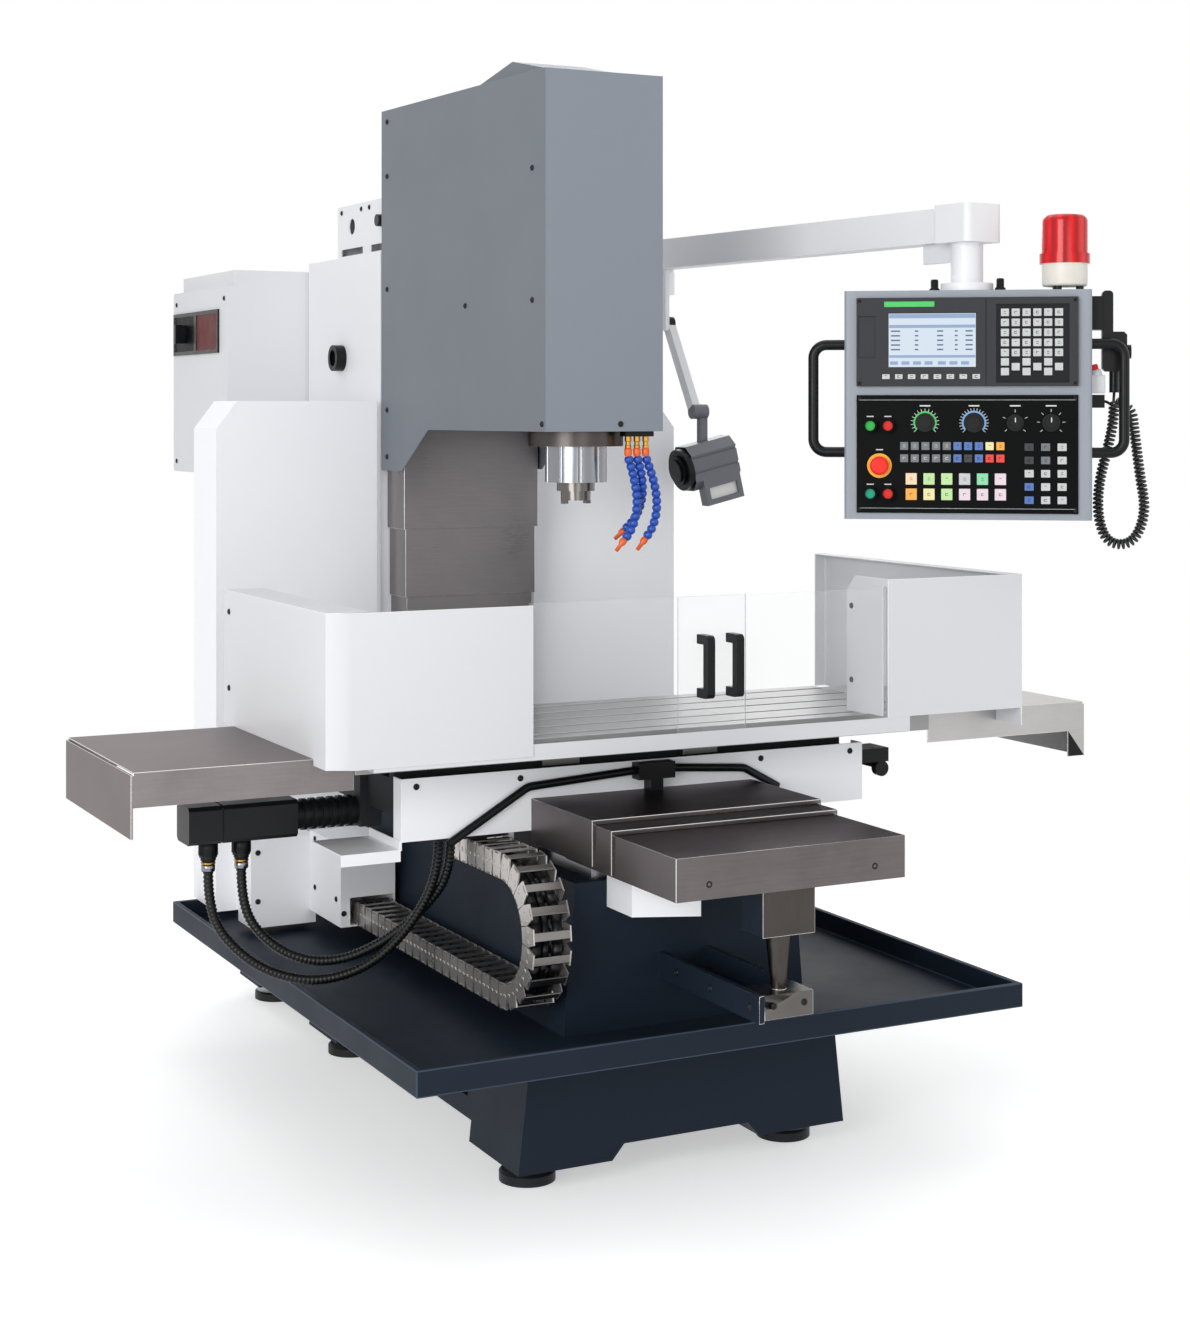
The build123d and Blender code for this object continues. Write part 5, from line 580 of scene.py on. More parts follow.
def repeat(name, template, places, size, finish, body=None, smooth=False):
    """Repeats a template at (point, facing, along) places and makes the result one plain mesh on a body."""
    tree = bpy.data.node_groups.get("repeat_on_points") or repeat_tree()
    mesh = bpy.data.meshes.new(name + "_points")
    mesh.from_pydata([place[0] for place in places], [], [])
    for column, key in ((1, "facing"), (2, "along")):
        attribute = mesh.attributes.new(key, "FLOAT_VECTOR", "POINT")
        attribute.data.foreach_set("vector", [value for place in places for value in place[column]])
    holder = bpy.data.objects.new(name + "_points", mesh)
    bpy.context.scene.collection.objects.link(holder)
    run_tree(holder, tree, {"Template": template, "Size": size, "Finish": FINISHES[finish]})
    depsgraph = bpy.context.evaluated_depsgraph_get()
    made = bpy.data.meshes.new_from_object(holder.evaluated_get(depsgraph))
    bpy.data.objects.remove(holder)
    made.name = name
    made.polygons.foreach_set("use_smooth", [smooth] * len(made.polygons))
    piece = bpy.data.objects.new(name, made)
    bpy.context.scene.collection.objects.link(piece)
    if body:
        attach(piece, body)
    return piece


# Cords


def spline_points(name, route):
    """Points of the smooth NURBS line through a route's control points."""
    curve = bpy.data.curves.new(name + "_route", "CURVE")
    curve.dimensions = "3D"
    curve.resolution_u = 16
    spline = curve.splines.new("NURBS")
    spline.points.add(len(route) - 1)
    for point, place in zip(spline.points, route):
        point.co = (*place, 1.0)
    spline.order_u = 3
    spline.use_endpoint_u = True
    holder = bpy.data.objects.new(name + "_route", curve)
    mesh = bpy.data.meshes.new_from_object(holder)
    points = [vert.co.copy() for vert in mesh.vertices]
    bpy.data.objects.remove(holder)
    bpy.data.meshes.remove(mesh)
    return points


def even_points(points, step):
    """The same line with its points a step apart."""
    lengths = [0.0]
    for before, after in zip(points, points[1:]):
        lengths.append(lengths[-1] + (after - before).length)
    count = max(2, round(lengths[-1] / step))
    made, segment = [], 0
    for index in range(count + 1):
        distance = lengths[-1] * index / count
        while segment < len(points) - 2 and lengths[segment + 1] < distance:
            segment += 1
        span = lengths[segment + 1] - lengths[segment]
        share = (distance - lengths[segment]) / span if span else 0.0
        made.append(points[segment].lerp(points[segment + 1], min(1.0, share)))
    return made


def frames_along(points):
    """Two steady cross directions at each point of a line."""
    last = len(points) - 1
    tangents = [
        (points[min(last, index + 1)] - points[max(0, index - 1)]).normalized() for index in range(len(points))
    ]
    side = tangents[0].orthogonal().normalized()
    frames = []
    for tangent in tangents:
        side = (side - tangent * side.dot(tangent)).normalized()
        frames.append((side, tangent.cross(side)))
    return frames


def eased(share):
    """A smooth rise from 0 to 1 as the share goes from 0 to 1."""
    share = min(1.0, max(0.0, share))
    return share * share * (3 - 2 * share)


def tube(name, points, radii, sides, finish):
    """Closed tube along a line, whose radius goes through the given ones again and again."""
    bm = bmesh.new()
    rings = []
    for index, (point, (side, up)) in enumerate(zip(points, frames_along(points))):
        radius = radii[index % len(radii)]
        rings.append([point + radius * (side * c + up * s) for c, s in circle(sides)])
    loft_into(bm, rings)
    return object_from(name, bm, (finish,))


def lay_cord(cord, body):
    """Sets a cord or hose on a body."""
    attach(cord, body)


HOSE_ROUTES = (
    (
        *((-0.905, -0.507, 0.640), (-0.905, -0.507, 0.575), (-0.880, -0.520, 0.500)),
        *((-0.800, -0.552, 0.425), (-0.690, -0.592, 0.396), (-0.580, -0.630, 0.430)),
        *((-0.500, -0.665, 0.520), (-0.452, -0.690, 0.626), (-0.452, -0.690, 0.702)),
    ),
    (
        *((-0.832, -0.507, 0.640), (-0.832, -0.507, 0.575), (-0.806, -0.520, 0.505)),
        *((-0.735, -0.548, 0.446), (-0.645, -0.580, 0.432), (-0.550, -0.622, 0.474)),
        *((-0.470, -0.665, 0.552), (-0.424, -0.690, 0.626), (-0.424, -0.690, 0.702)),
    ),
)
HOSE_RADIUS, HOSE_GROOVE = 0.011, 0.011 * 0.86

CORD_ROUTE = (
    *((0.3325, 0.023, 1.660), (0.3325, 0.023, 1.600), (0.318, 0.012, 1.535), (0.297, 0.005, 1.455)),
    *((0.294, 0.002, 1.375), (0.316, 0.000, 1.314), (0.374, 0.004, 1.314), (0.403, 0.012, 1.385)),
    *((0.390, 0.020, 1.470), (0.380, 0.032, 1.560), (0.372, 0.050, 1.640), (0.3125, 0.050, 1.640)),
)
CORD_WIRE = 0.0034
TURN_STEPS = 14


class Step:
    """An operator whose make method adds or finishes one group of pieces."""

    def execute(self, context):
        self.make(context.scene)
        return {"FINISHED"}


class MACHINE_OT_hoses(Step, bpy.types.Operator):
    """Ribbed hoses from the X motor's plugs in a loop to the cable lug"""

    bl_idname = "machine.hoses"
    bl_label = "Motor Hoses"

    def make(self, scene):
        ribs = (HOSE_GROOVE, HOSE_RADIUS, HOSE_RADIUS, HOSE_GROOVE)
        for index, route in enumerate(HOSE_ROUTES):
            points = even_points(spline_points("hose", route), scene.machine_fittings.rib_pitch / len(ribs))
            hose = tube(f"motor_hose_{index + 1}", points, ribs, 14, "rubber")
            lay_cord(hose, "saddle")
        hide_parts("motor_hoses")


class MACHINE_OT_coiled_cord(Step, bpy.types.Operator):
    """Coiled cord of the hand pulse unit"""

    bl_idname = "machine.coiled_cord"
    bl_label = "Coiled Cord"

    def make(self, scene):
        sizes = scene.machine_fittings
        route = [PENDANT @ Vector(point) for point in CORD_ROUTE]
        line = even_points(spline_points("cord", route), sizes.coil_pitch / TURN_STEPS)
        lead, last = 2 * TURN_STEPS, len(line) - 1
        helix, angle = [], 0.0
        for index, (point, (side, up)) in enumerate(zip(line, frames_along(line))):
            reach = min(index, last - index)
            out = side * math.cos(angle) + up * math.sin(angle)
            helix.append(point + eased(reach / lead) * sizes.coil * out)
            angle += 2 * math.pi / TURN_STEPS * eased((reach - lead) / TURN_STEPS)
        cord = tube("coiled_cord", helix, (CORD_WIRE,), 7, "cable")
        lay_cord(cord, "pendant")
        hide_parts("handset_cord")


# Energy chain

CHAIN_X = (-0.400, -0.312)
CHAIN_LOW, CHAIN_TOP, CHAIN_HEIGHT = 0.380, 0.7016, 0.054
CHAIN_BEND_Y, CHAIN_START_Y, CHAIN_END_Y = -0.892, -0.030, -0.640
CHAIN_LINKS = 36


def chain_places():
    """Place, facing and along direction of the links in the fixed run, bend and moving run, and their pitch."""
    low, high = CHAIN_LOW + CHAIN_HEIGHT / 2, CHAIN_TOP - CHAIN_HEIGHT / 2
    radius = (high - low) / 2
    run, arc = CHAIN_START_Y - CHAIN_BEND_Y, math.pi * radius
    pitch = (run + arc + CHAIN_END_Y - CHAIN_BEND_Y) / CHAIN_LINKS
    stretches = {"fixed": [], "bend": [], "moving": []}
    x = sum(CHAIN_X) / 2
    for index in range(CHAIN_LINKS):
        distance = (index + 0.5) * pitch
        turn = min(max((distance - run) / radius, 0.0), math.pi)
        y = CHAIN_BEND_Y - radius * math.sin(turn)
        part = "bend"
        if turn == 0.0:
            part, y = "fixed", CHAIN_START_Y - distance
        if turn == math.pi:
            part, y = "moving", CHAIN_BEND_Y + distance - run - arc
        z = low + radius - radius * math.cos(turn)
        facing = Vector((0, -math.sin(turn), -math.cos(turn)))
        along = Vector((0, -math.cos(turn), math.sin(turn)))
        stretches[part].append((Vector((x, y, z)), facing, along))
    return stretches, pitch


def chain_blend(part):
    """Start and end points for a blend that would move the bend by half the saddle's travel, as a rolling chain does;
    no blend in this script uses them.
    """
    middle = Vector((sum(CHAIN_X) / 2, CHAIN_BEND_Y, 0))
    reach = {
        "fixed": Vector((0, CHAIN_BEND_Y - CHAIN_START_Y, 0)),
        "bend": Vector((100.0, 0, 0)),
        "moving": Vector((0, CHAIN_END_Y - CHAIN_BEND_Y, 0)),
    }[part]
    return middle - reach, middle + reach


LINK_GAP, PLATE_THICK, STAY_THICK, CABLE_LIFT = 0.0006, 0.0032, 0.0038, 0.008
PLATE_RIVET = ((0.0055, -0.001), (0.0055, 0.0002), (0.004, 0.0008))
STAY_RIVET = ((0.0042, -0.001), (0.0042, 0.0), (0.003, 0.0005))
CABLES = ((-0.026, 0.012), (0.0, 0.009), (0.024, 0.013))


class MACHINE_OT_chain(Step, bpy.types.Operator):
    """Steel energy chain: pointed side plates with rivets, flat bars on both faces"""

    bl_idname = "machine.chain"
    bl_label = "Energy Chain"

    def make(self, scene):
        stretches, pitch = chain_places()
        half, high = (pitch - LINK_GAP) / 2, CHAIN_HEIGHT / 2
        wide = (CHAIN_X[1] - CHAIN_X[0]) / 2
        back, front = -half * 0.72, half * 0.8
        outline = ((-half, 0), (back, -high), (front, -high), (half, 0), (front, high), (back, high))
        bm = bmesh.new()
        for side in (-1, 1):
            outer = side * (wide - 0.0008)
            inner = outer - side * PLATE_THICK
            loft_into(bm, [[(u, v, w) for u, w in outline] for v in (inner, outer)])
            for u in (-half * 0.5, half * 0.5):
                turn = Matrix.Translation((u, outer, 0)) @ Matrix.Rotation(-side * math.pi / 2, 4, "X")
                turned_into(bm, PLATE_RIVET, turn, 8)
        plates = object_from("chain_plate", bm)
        bm = bmesh.new()
        for level, flip in ((-1, math.pi), (1, 0)):
            outer = level * (high - 0.0002)
            low, top = sorted((outer - level * STAY_THICK, outer))
            box_into(bm, (-half * 0.42, -wide, low), (half * 0.42, wide, top), bevel=0.0012)
            for across in (-0.7, 0.7):
                turn = Matrix.Translation((0, across * wide, level * (high - 0.0006)))
                turned_into(bm, STAY_RIVET, turn @ Matrix.Rotation(flip, 4, "X"), 8)
        stays = object_from("chain_stay", bm)
        bm = bmesh.new()
        for across, radius in CABLES:
            start = Matrix.Translation((-half - 0.0008, across, radius - high + CABLE_LIFT))
            length = 2 * half + 0.0016
            turned_into(bm, ((radius, 0.0), (radius, length)), start @ Matrix.Rotation(math.pi / 2, 4, "Y"), 10)
        cables = object_from("cable_length", bm)
        for part, places in stretches.items():
            start, end = chain_blend(part)
            for name, template, finish, slot in (
                ("chain_plates", plates, "chain", "chain"),
                ("chain_stays", stays, "chain_stay", "chain"),
                ("chain_cables", cables, "rubber", "hose_rubber"),
            ):
                piece = repeat(f"{name}_{part}", template, places, 1.0, finish, smooth=template is cables)
                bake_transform(piece)
        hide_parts("drag_chain")
        for template in (plates, stays, cables):
            bpy.data.objects.remove(template)


# Screws

LEFT, RIGHT, FRONT, BACK, DOWN, UP = (-1, 0, 0), (1, 0, 0), (0, -1, 0), (0, 1, 0), (0, 0, -1), (0, 0, 1)
HEAD_FRONT, HEAD_DEPTH, HEAD_HALF, HEAD_FLARE = -0.592, 0.861, 0.150, 0.056
HEAD_SCREWS = (
    *((0.235, 1.50), (0.235, 1.62), (0.235, 1.93), (0.235, 2.22), (0.235, 2.36)),
    *((-0.53, 2.17), (-0.53, 1.87), (-0.2, 1.87)),
)


def head_side(y, z, side=-1):
    """A point on the flared side of the head cover with the face's outward direction."""
    x = HEAD_HALF + HEAD_FLARE * (y - HEAD_FRONT) / HEAD_DEPTH
    facing = Vector((side, -HEAD_FLARE / HEAD_DEPTH, 0)).normalized()
    return Vector((side * x, y, z)), facing, UP


def screws_on(facing, xs, ys, zs):
    """Screw places at every mix of the given x, y and z on faces that look one way."""
    return [(Vector((x, y, z)), facing, UP) for x in xs for y in ys for z in zs]


def screw_groups():
    """Places of the cover screws by body."""
    head = [head_side(y, z, side) for side in (-1, 1) for y, z in HEAD_SCREWS]
    head += [head_side(-0.575, 1.588)] + screws_on(FRONT, (0.040,), (HEAD_FRONT,), (1.588,))
    base = screws_on(LEFT, (-0.068,), (-1.345, -1.19, -1.05), (0.451,))
    base += screws_on(FRONT, (-0.035, 0.035), (-1.380,), (0.456,))
    base += screws_on(FRONT, (-0.575,), (0.158,), (0.41, 0.53))
    base += screws_on(FRONT, (-0.432,), (-0.060,), (0.41, 0.53))
    base += screws_on(LEFT, (-0.440,), (-0.03, 0.12), (0.44, 0.56))
    base += screws_on(LEFT, (-0.150,), (0.33, 0.50, 0.56, 0.71), (2.165,))
    base += screws_on(LEFT, (-0.440,), (0.86, 1.32), (1.47, 1.93))
    table = screws_on(LEFT, (-0.793,), (-0.30,), (1.0, 1.17)) + screws_on(LEFT, (0.531,), (-0.80,), (1.0, 1.17))
    saddle = screws_on(FRONT, (-0.54, -0.30, 0.30, 0.54), (-0.779,), (0.832,))
    pendant = screws_on(PANEL_OUT, (-0.243, 0.240), (BEZEL_FACE,), (1.681, 1.869))
    pendant += screws_on(PANEL_OUT, (-0.243, 0.240), (PANEL_FACE,), (1.392, 1.647))
    pendant = [(PENDANT @ point, facing, up) for point, facing, up in pendant]
    return {"head": head, "base": base, "table": table, "saddle": saddle, "pendant": pendant}


DOME_HEAD = ((1.0, 0.0), (1.0, 0.12), (0.86, 0.36), (0.55, 0.5), (0.5, 0.5), (0.45, 0.2))
FLAT_HEAD = ((1.0, -0.2), (1.0, 0.0), (0.9, 0.04), (0.5, 0.04), (0.45, -0.1))


def turned_template(name, profile, sides):
    """A turned shape to be repeated."""
    bm = bmesh.new()
    turned_into(bm, profile, sides=sides)
    return object_from(name, bm)


class MACHINE_OT_screws(Step, bpy.types.Operator):
    """Black button-head screws on the covers, boxes and panels"""

    bl_idname = "machine.screws"
    bl_label = "Cover Screws"

    def make(self, scene):
        size = scene.machine_fittings.screw
        dome = turned_template("screw_head", DOME_HEAD, 12)
        for body, places in screw_groups().items():
            share = 0.6 if body == "pendant" else 1.0
            repeat(f"{body}_screws", dome, places, size * share, "black", body, smooth=True)
        flat = turned_template("flat_head", FLAT_HEAD, 12)
        places = screws_on(FRONT, (-0.19, 0.19), (-1.397,), (0.712,))
        repeat("cover_screws", flat, places, size, "black", "base")
        for template in (dome, flat):
            bpy.data.objects.remove(template)


# Operator panel

SCREEN = (-0.178, 0.020, 1.717, 1.841)
FILM = 0.0003
WORDS = ((0.006, 0.026), (0.060, 0.010), (0.110, 0.014), (0.150, 0.008), (0.174, 0.016))


def panel_plate(bm, x0, x1, z0, z1, face, rise=FILM, index=0):
    """Adds a thin plate on a panel face, in the pendant's frame."""
    box_into(bm, (x0, face - rise, z0), (x1, face, z1), index)


class MACHINE_OT_screen(Step, bpy.types.Operator):
    """Lit display with plain bars, and the printed strip on its bezel"""

    bl_idname = "machine.screen"
    bl_label = "Display"

    def make(self, scene):
        bm = bmesh.new()
        face = BEZEL_FACE + 0.004
        x0, x1, z0, z1 = SCREEN
        panel_plate(bm, x0 + 0.001, x1 - 0.001, z0 + 0.001, z1 - 0.001, face, 2 * FILM)
        on = face - 2 * FILM
        for low, high in ((z1 - 0.012, z1 - 0.002), (z1 - 0.034, z1 - 0.027), (z0 + 0.022, z0 + 0.028)):
            panel_plate(bm, x0 + 0.002, x1 - 0.002, low, high, on, index=1)
        for row in range(5):
            z = z1 - 0.043 - 0.0105 * row
            for start, width in WORDS:
                width *= 0.8 + 0.2 * ((row * 3 + int(start * 100)) % 3) / 2
                panel_plate(bm, x0 + start, x0 + start + width, z, z + 0.0034, on, index=2)
        for start in (0.004, 0.030, 0.056, 0.082, 0.112, 0.138, 0.164):
            panel_plate(bm, x0 + start, x0 + start + 0.018, z0 + 0.006, z0 + 0.014, on, index=1)
        piece_from("display_screen", bm, ("screen", "screen_bar", "screen_text"), "pendant", PENDANT)
        bm = bmesh.new()
        panel_plate(bm, -0.187, -0.074, 1.855, 1.867, BEZEL_FACE, 2 * FILM)
        panel_plate(bm, 0.0412, 0.0424, 1.677, 1.873, BEZEL_FACE, index=1)
        piece_from("bezel_strip", bm, ("mark_green", "foil"), "pendant", PENDANT)


DIALS = ((-0.095, 0.021, 17), (0.015, 0.022, 21), (0.107, 0.019, 5), (0.187, 0.020, 7))
DIAL_Z = 1.591
RING_STEPS = 48
BUTTON_MARKS = ((-0.219, 1.604), (-0.179, 1.604), (-0.219, 1.449), (-0.179, 1.449), (-0.198, 1.528))


def dial_way(share):
    """Direction on the panel from a dial's middle at a share of its scale."""
    angle = math.radians(-130 + 260 * share)
    return Vector((math.sin(angle), 0, math.cos(angle)))


class MACHINE_OT_scales(Step, bpy.types.Operator):
    """Printed scales round the selector knobs and short bars beside the buttons"""

    bl_idname = "machine.scales"
    bl_label = "Panel Marks"

    def make(self, scene):
        ticks = []
        for x, radius, count in DIALS:
            for step in range(count):
                out = dial_way(step / (count - 1))
                place = Vector((x, PANEL_FACE, DIAL_Z)) + out * (radius + 0.008)
                ticks.append((PENDANT @ place, PANEL_OUT, PENDANT.to_3x3() @ out))
        bm = bmesh.new()
        box_into(bm, (-0.0032, -0.0006, 0), (0.0032, 0.0006, FILM))
        tick = object_from("scale_tick", bm)
        repeat("dial_scales", tick, ticks, 1.0, "mark", "pendant")
        bpy.data.objects.remove(tick)
        bm = bmesh.new()
        for x, z in BUTTON_MARKS:
            panel_plate(bm, x - 0.008, x + 0.008, z, z + 0.0025, PANEL_FACE)
        for x, _, _ in DIALS:
            panel_plate(bm, x - 0.012, x + 0.012, DIAL_Z + 0.037, DIAL_Z + 0.040, PANEL_FACE)
        for z in (1.6425, 1.3955):
            panel_plate(bm, -0.245, 0.242, z, z + 0.0007, PANEL_FACE)
        piece_from("panel_bars", bm, ("mark",), "pendant", PENDANT)
        bm = bmesh.new()
        for index, (x, radius, _) in enumerate(DIALS[:2]):
            middle = Vector((x, PANEL_FACE - FILM, DIAL_Z))
            inner, outer = radius + 0.0012, radius + 0.0052
            for step in range(RING_STEPS):
                start, end = dial_way(step / RING_STEPS), dial_way((step + 1) / RING_STEPS)
                corners = (start * inner, end * inner, end * outer, start * outer)
                bm.faces.new([bm.verts.new(middle + corner) for corner in corners]).material_index = index
        bmesh.ops.remove_doubles(bm, verts=bm.verts, dist=0.00001)
        piece_from("dial_rings", bm, ("mark_green", "mark_blue"), "pendant", PENDANT)


# CAD finishes. Each row: nodes, their finish, their edges (width in mm, segments, lighter edge finish: painted
# highlight with rubbed wear) and face rules

WINDOW = {"x": (-0.4435, -0.4425), "nx": (0.9, FAR)}
CASTINGS = {
    "base_casting": ("navy", (4.0, 2, "navy_edge"), (where(wide=(0.1825, 0.2175), z=(0.6405, 0.6755)), "rail")),
    "drip_tray": ("navy", (2.5, 2, "navy_edge")),
    "levelling_feet": ("black", None, (where(z=(0.0135, FAR), nz=(0.9, FAR)), "steel")),
    "column": (
        "white",
        (2.0, 2, None),
        (where(y=(-FAR, 0.2779), z=(1.209, 2.016)), "rail"),
        (where(x=(-FAR, -0.2052)), "grip"),
    ),
    "table": ("iron", (0.6, 2, "cover_edge")),
    "saddle_casting head_casting": ("cast", None),
    "axis_motors spindle_motor": ("black", None),
    "x_motor": ("black", (2.0, 2, None), (where(x=(-FAR, -0.8), z=(-FAR, 0.6705)), "grip")),
    "spindle_housing": ("gun", (1.0, 2, "cover_edge"), (where(z=(-FAR, 1.5355)), "steel")),
    "spindle": ("nose", None),
    "x_ball_screw y_ball_screw z_ball_screw": ("steel", None),
    "cover_support": (
        "gun",
        (1.0, 2, "cover_edge"),
        (where(z=(-FAR, 0.4785)), "nose"),
        (lambda c, n: abs(c.x) > 0.0565 or c.y > -1.2995 or c.z < 0.4299, "navy"),
    ),
}
SHEET_METAL = {
    # Lighter and darker copies of the one white: painted light on the panels behind the spindle, painted shade on the
    # guards and cabinet
    "splash_panels saddle_cover": ("white_painted_light_copy", (1.0, 2, "white_edge")),
    "arm_bracket": ("white_painted_light_copy", None),
    "guard_left guard_right cabinet_door": ("white_guard", (1.0, 2, "white_edge")),
    "trough": ("white_guard", None),
    "main_switch_knob limit_switches": ("grip", None),
    "electrical_cabinet": (
        "white_guard",
        (1.0, 2, "white_edge"),
        (where(x=(-FAR, -0.4401), y=(-FAR, 1.3375)), "grip"),
        (where(y=(1.121, 1.3375), **WINDOW), "foil"),
        (where(y=(-FAR, 1.121), **WINDOW), "switch_red"),
        (where(wide=(-FAR, 0.4365), y=(0.8412, 1.012), z=(-FAR, 1.765)), "bezel"),
    ),
    "z_motor_cover": ("white", None, (where(x=(-FAR, -0.1502)), "grip")),
    # The head cover's side faces take the darker grey copy: painted shade
    "head_cover": ("grey", (1.2, 2, "grey_edge"), (where(nx=(0.9, FAR)), "grey_side")),
    "swing_arm": ("arm", (3.0, 3, None)),
    "light_arm": ("arm", None, (where(z=(1.832, FAR)), "grip"), (where(z=(-FAR, 1.640)), "lamp_grey")),
    "lamp_head": (
        "lamp_grey",
        (1.6, 2, None),
        (where(LAMP, x=(-FAR, -0.0698)), "grip"),
        (where(LAMP, x=(-0.0345, 0.0525), y=(-0.0425, -0.0235), z=(-0.0925, -0.0595)), "lamp_glass"),
    ),
    "door_left": ("clear", None, (where(ny=(-FAR, 0.5)), "clear_edge")),
    "door_right": ("clear", None, (where(ny=(-FAR, 0.5)), "clear_edge"), (where(y=(-FAR, -0.9437)), "grip")),
}
WAY_COVERS = {
    "y_cover_front y_cover_middle y_cover_rear": (
        "cover",
        (1.2, 2, "cover_edge"),
        # Cover tops darker: oil and painted shade
        (where(nz=(0.9, FAR)), "cover_top"),
    ),
    "z_cover_lower z_cover_middle z_cover_upper": ("column_cover", (0.9, 2, "cover_edge")),
    "x_covers": (
        # The X cover's right half takes the lighter steel copy and its left half the darker one: painted light and
        # painted shade
        "cover_right_painted_light",
        (1.2, 2, "cover_edge"),
        (where(x=(-FAR, 0.0)), "cover_left"),
        # A patch of the right cover's hanging end plate is painted black: a dark finish put where the plate only lies
        # in shade
        (where(x=(1.114, 1.17), y=(-0.853, -0.848), z=(0.78, 0.8485)), "grip"),
    ),
}


class MACHINE_OT_castings(Step, bpy.types.Operator):
    """Finishes of the base, column, saddle, table and head castings"""

    bl_idname = "machine.castings"
    bl_label = "Castings"

    def make(self, scene):
        dress(CASTINGS)


class MACHINE_OT_sheet_metal(Step, bpy.types.Operator):
    """Finishes of the painted sheet panels, boxes, guards and the head cover"""

    bl_idname = "machine.sheet_metal"
    bl_label = "Sheet Metal"

    def make(self, scene):
        dress(SHEET_METAL)


class MACHINE_OT_way_covers(Step, bpy.types.Operator):
    """Finishes of the telescopic way covers"""

    bl_idname = "machine.way_covers"
    bl_label = "Way Covers"

    def make(self, scene):
        dress(WAY_COVERS)


def spread(first, last, count):
    """Evenly spaced places from the first to the last."""
    return [first + (last - first) * index / (count - 1) for index in range(count)]


# Keys by field: finish of each key by row, places along the rows and heights of the rows
SMALL_KEYS = (
    (
        ("grey",) * 5 + ("blue", "blue", "blue", "yellow", "orange"),
        ("grey",) * 5 + ("blue", "dark", "blue", "red", "red"),
    ),
    spread(-0.142, 0.074, 10),
    (1.538, 1.510),
)
WIDE_KEYS = (
    (("peach", "lime", "lime", "pale", "green", "rose"), ("orange", "yellow", "lime", "rose", "rose", "rose")),
    spread(-0.126, 0.074, 6),
    (1.463, 1.428),
)
SIDE_KEYS = (
    (("dark", "grey", "pale"),) * 2 + (("pale",) * 3,) + (("blue", "pale", "pale"),) * 2,
    spread(0.138, 0.211, 3),
    spread(1.536, 1.416, 5),
)
KEY_HALF = (0.0132, 0.0138)


def key_rules():
    """Rules that pick each key of the operator panel, with its finish."""
    rules = []
    for rows, xs, zs in (SMALL_KEYS, WIDE_KEYS, SIDE_KEYS):
        for row, z in zip(rows, zs):
            for key, x in zip(row, xs):
                across, upright = ((middle - half, middle + half) for middle, half in zip((x, z), KEY_HALF))
                rules.append((where(PENDANT, x=across, y=(-0.09, -0.0705), z=upright), key + "_key"))
    return rules


CAP_EDGE, KNOB_EDGE = (1.5, 3, None), (0.8, 2, None)
CONTROLS = {
    "pendant_box": (
        "frame_grey",
        (2.0, 2, None),
        (where(PENDANT, x=(0.2792, FAR), z=(1.3, 1.895)), "grip"),
        (where(z=(1.8935, FAR)), "arm"),
    ),
    "display_unit": (
        "bezel",
        (1.2, 2, None),
        (where(PENDANT, x=(0.064, 0.228), y=(-0.0765, -0.07), z=(1.68, 1.862)), "well"),
    ),
    "operator_panel": (
        "foil",
        None,
        (where(PENDANT, x=(-0.24, -0.16), y=(-0.0775, -0.0715), z=(1.40, 1.61)), "steel"),
        (where(PENDANT, x=(-0.2265, -0.1695), y=(-0.0745, -0.0715), z=(1.464, 1.522)), "stop_ring"),
    ),
    "panel_keys": ("pale_key", KNOB_EDGE, *key_rules()),
    "beacon": ("cream", None, (where(z=(-FAR, 1.9029)), "grip"), (where(z=(1.9552, FAR)), "lens")),
    "pendant_handles": ("grip", None),
    "handset": ("grip", (2.0, 2, None)),
    "start_button": ("green_cap", CAP_EDGE),
    "ready_button": ("teal_cap", CAP_EDGE),
    "stop_button reset_button emergency_stop": ("red_cap", CAP_EDGE),
    "feed_knob override_knob mode_knob spindle_knob": ("grip", KNOB_EDGE),
}


class MACHINE_OT_controls(Step, bpy.types.Operator):
    """Finishes of the pendant, its keys, buttons, knobs, beacon and handset"""

    bl_idname = "machine.controls"
    bl_label = "Pendant Controls"

    def make(self, scene):
        dress(CONTROLS)


BEZEL_KEY_TOP, SOFT_KEY_TOP, PANEL_KEY_TOP = -0.0801, -0.0831, -0.0751
STROKE = 0.0022


class MACHINE_OT_key_marks(Step, bpy.types.Operator):
    """Short printed strokes on the keys"""

    bl_idname = "machine.key_marks"
    bl_label = "Key Marks"

    def make(self, scene):
        across, up = PENDANT.to_3x3() @ Vector(RIGHT), Vector(UP)
        strokes, pale = [], []
        fields = [(spread(0.084, 0.204, 6), spread(1.750, 1.841, 5), BEZEL_KEY_TOP)]
        fields += [(spread(-0.183, 0.020, 8), (1.696,), SOFT_KEY_TOP)]
        fields += [(xs, zs, PANEL_KEY_TOP) for _, xs, zs in (WIDE_KEYS, SMALL_KEYS, SIDE_KEYS)]
        keys = [(x, z, top) for xs, zs, top in fields for x in xs for z in zs]
        for index, (x, z, top) in enumerate(keys):
            place = PENDANT @ Vector((x, top, z))
            shown = pale if 1.5 < z < 1.55 and x < -0.03 else strokes
            shown.append((place + up * STROKE, PANEL_OUT, across))
            if index % 3:
                shown.append((place - up * STROKE, PANEL_OUT, across))
            if index % 2:
                shown.append((place - across * 0.0026, PANEL_OUT, up))
        bm = bmesh.new()
        box_into(bm, (-0.0028, -0.0005, -0.0003), (0.0028, 0.0005, 0.0002))
        stroke = object_from("key_stroke", bm)
        repeat("key_strokes", stroke, strokes, 1.0, "foil", "pendant")
        repeat("pale_strokes", stroke, pale, 1.0, "mark", "pendant")
        bpy.data.objects.remove(stroke)


# Coolant hoses

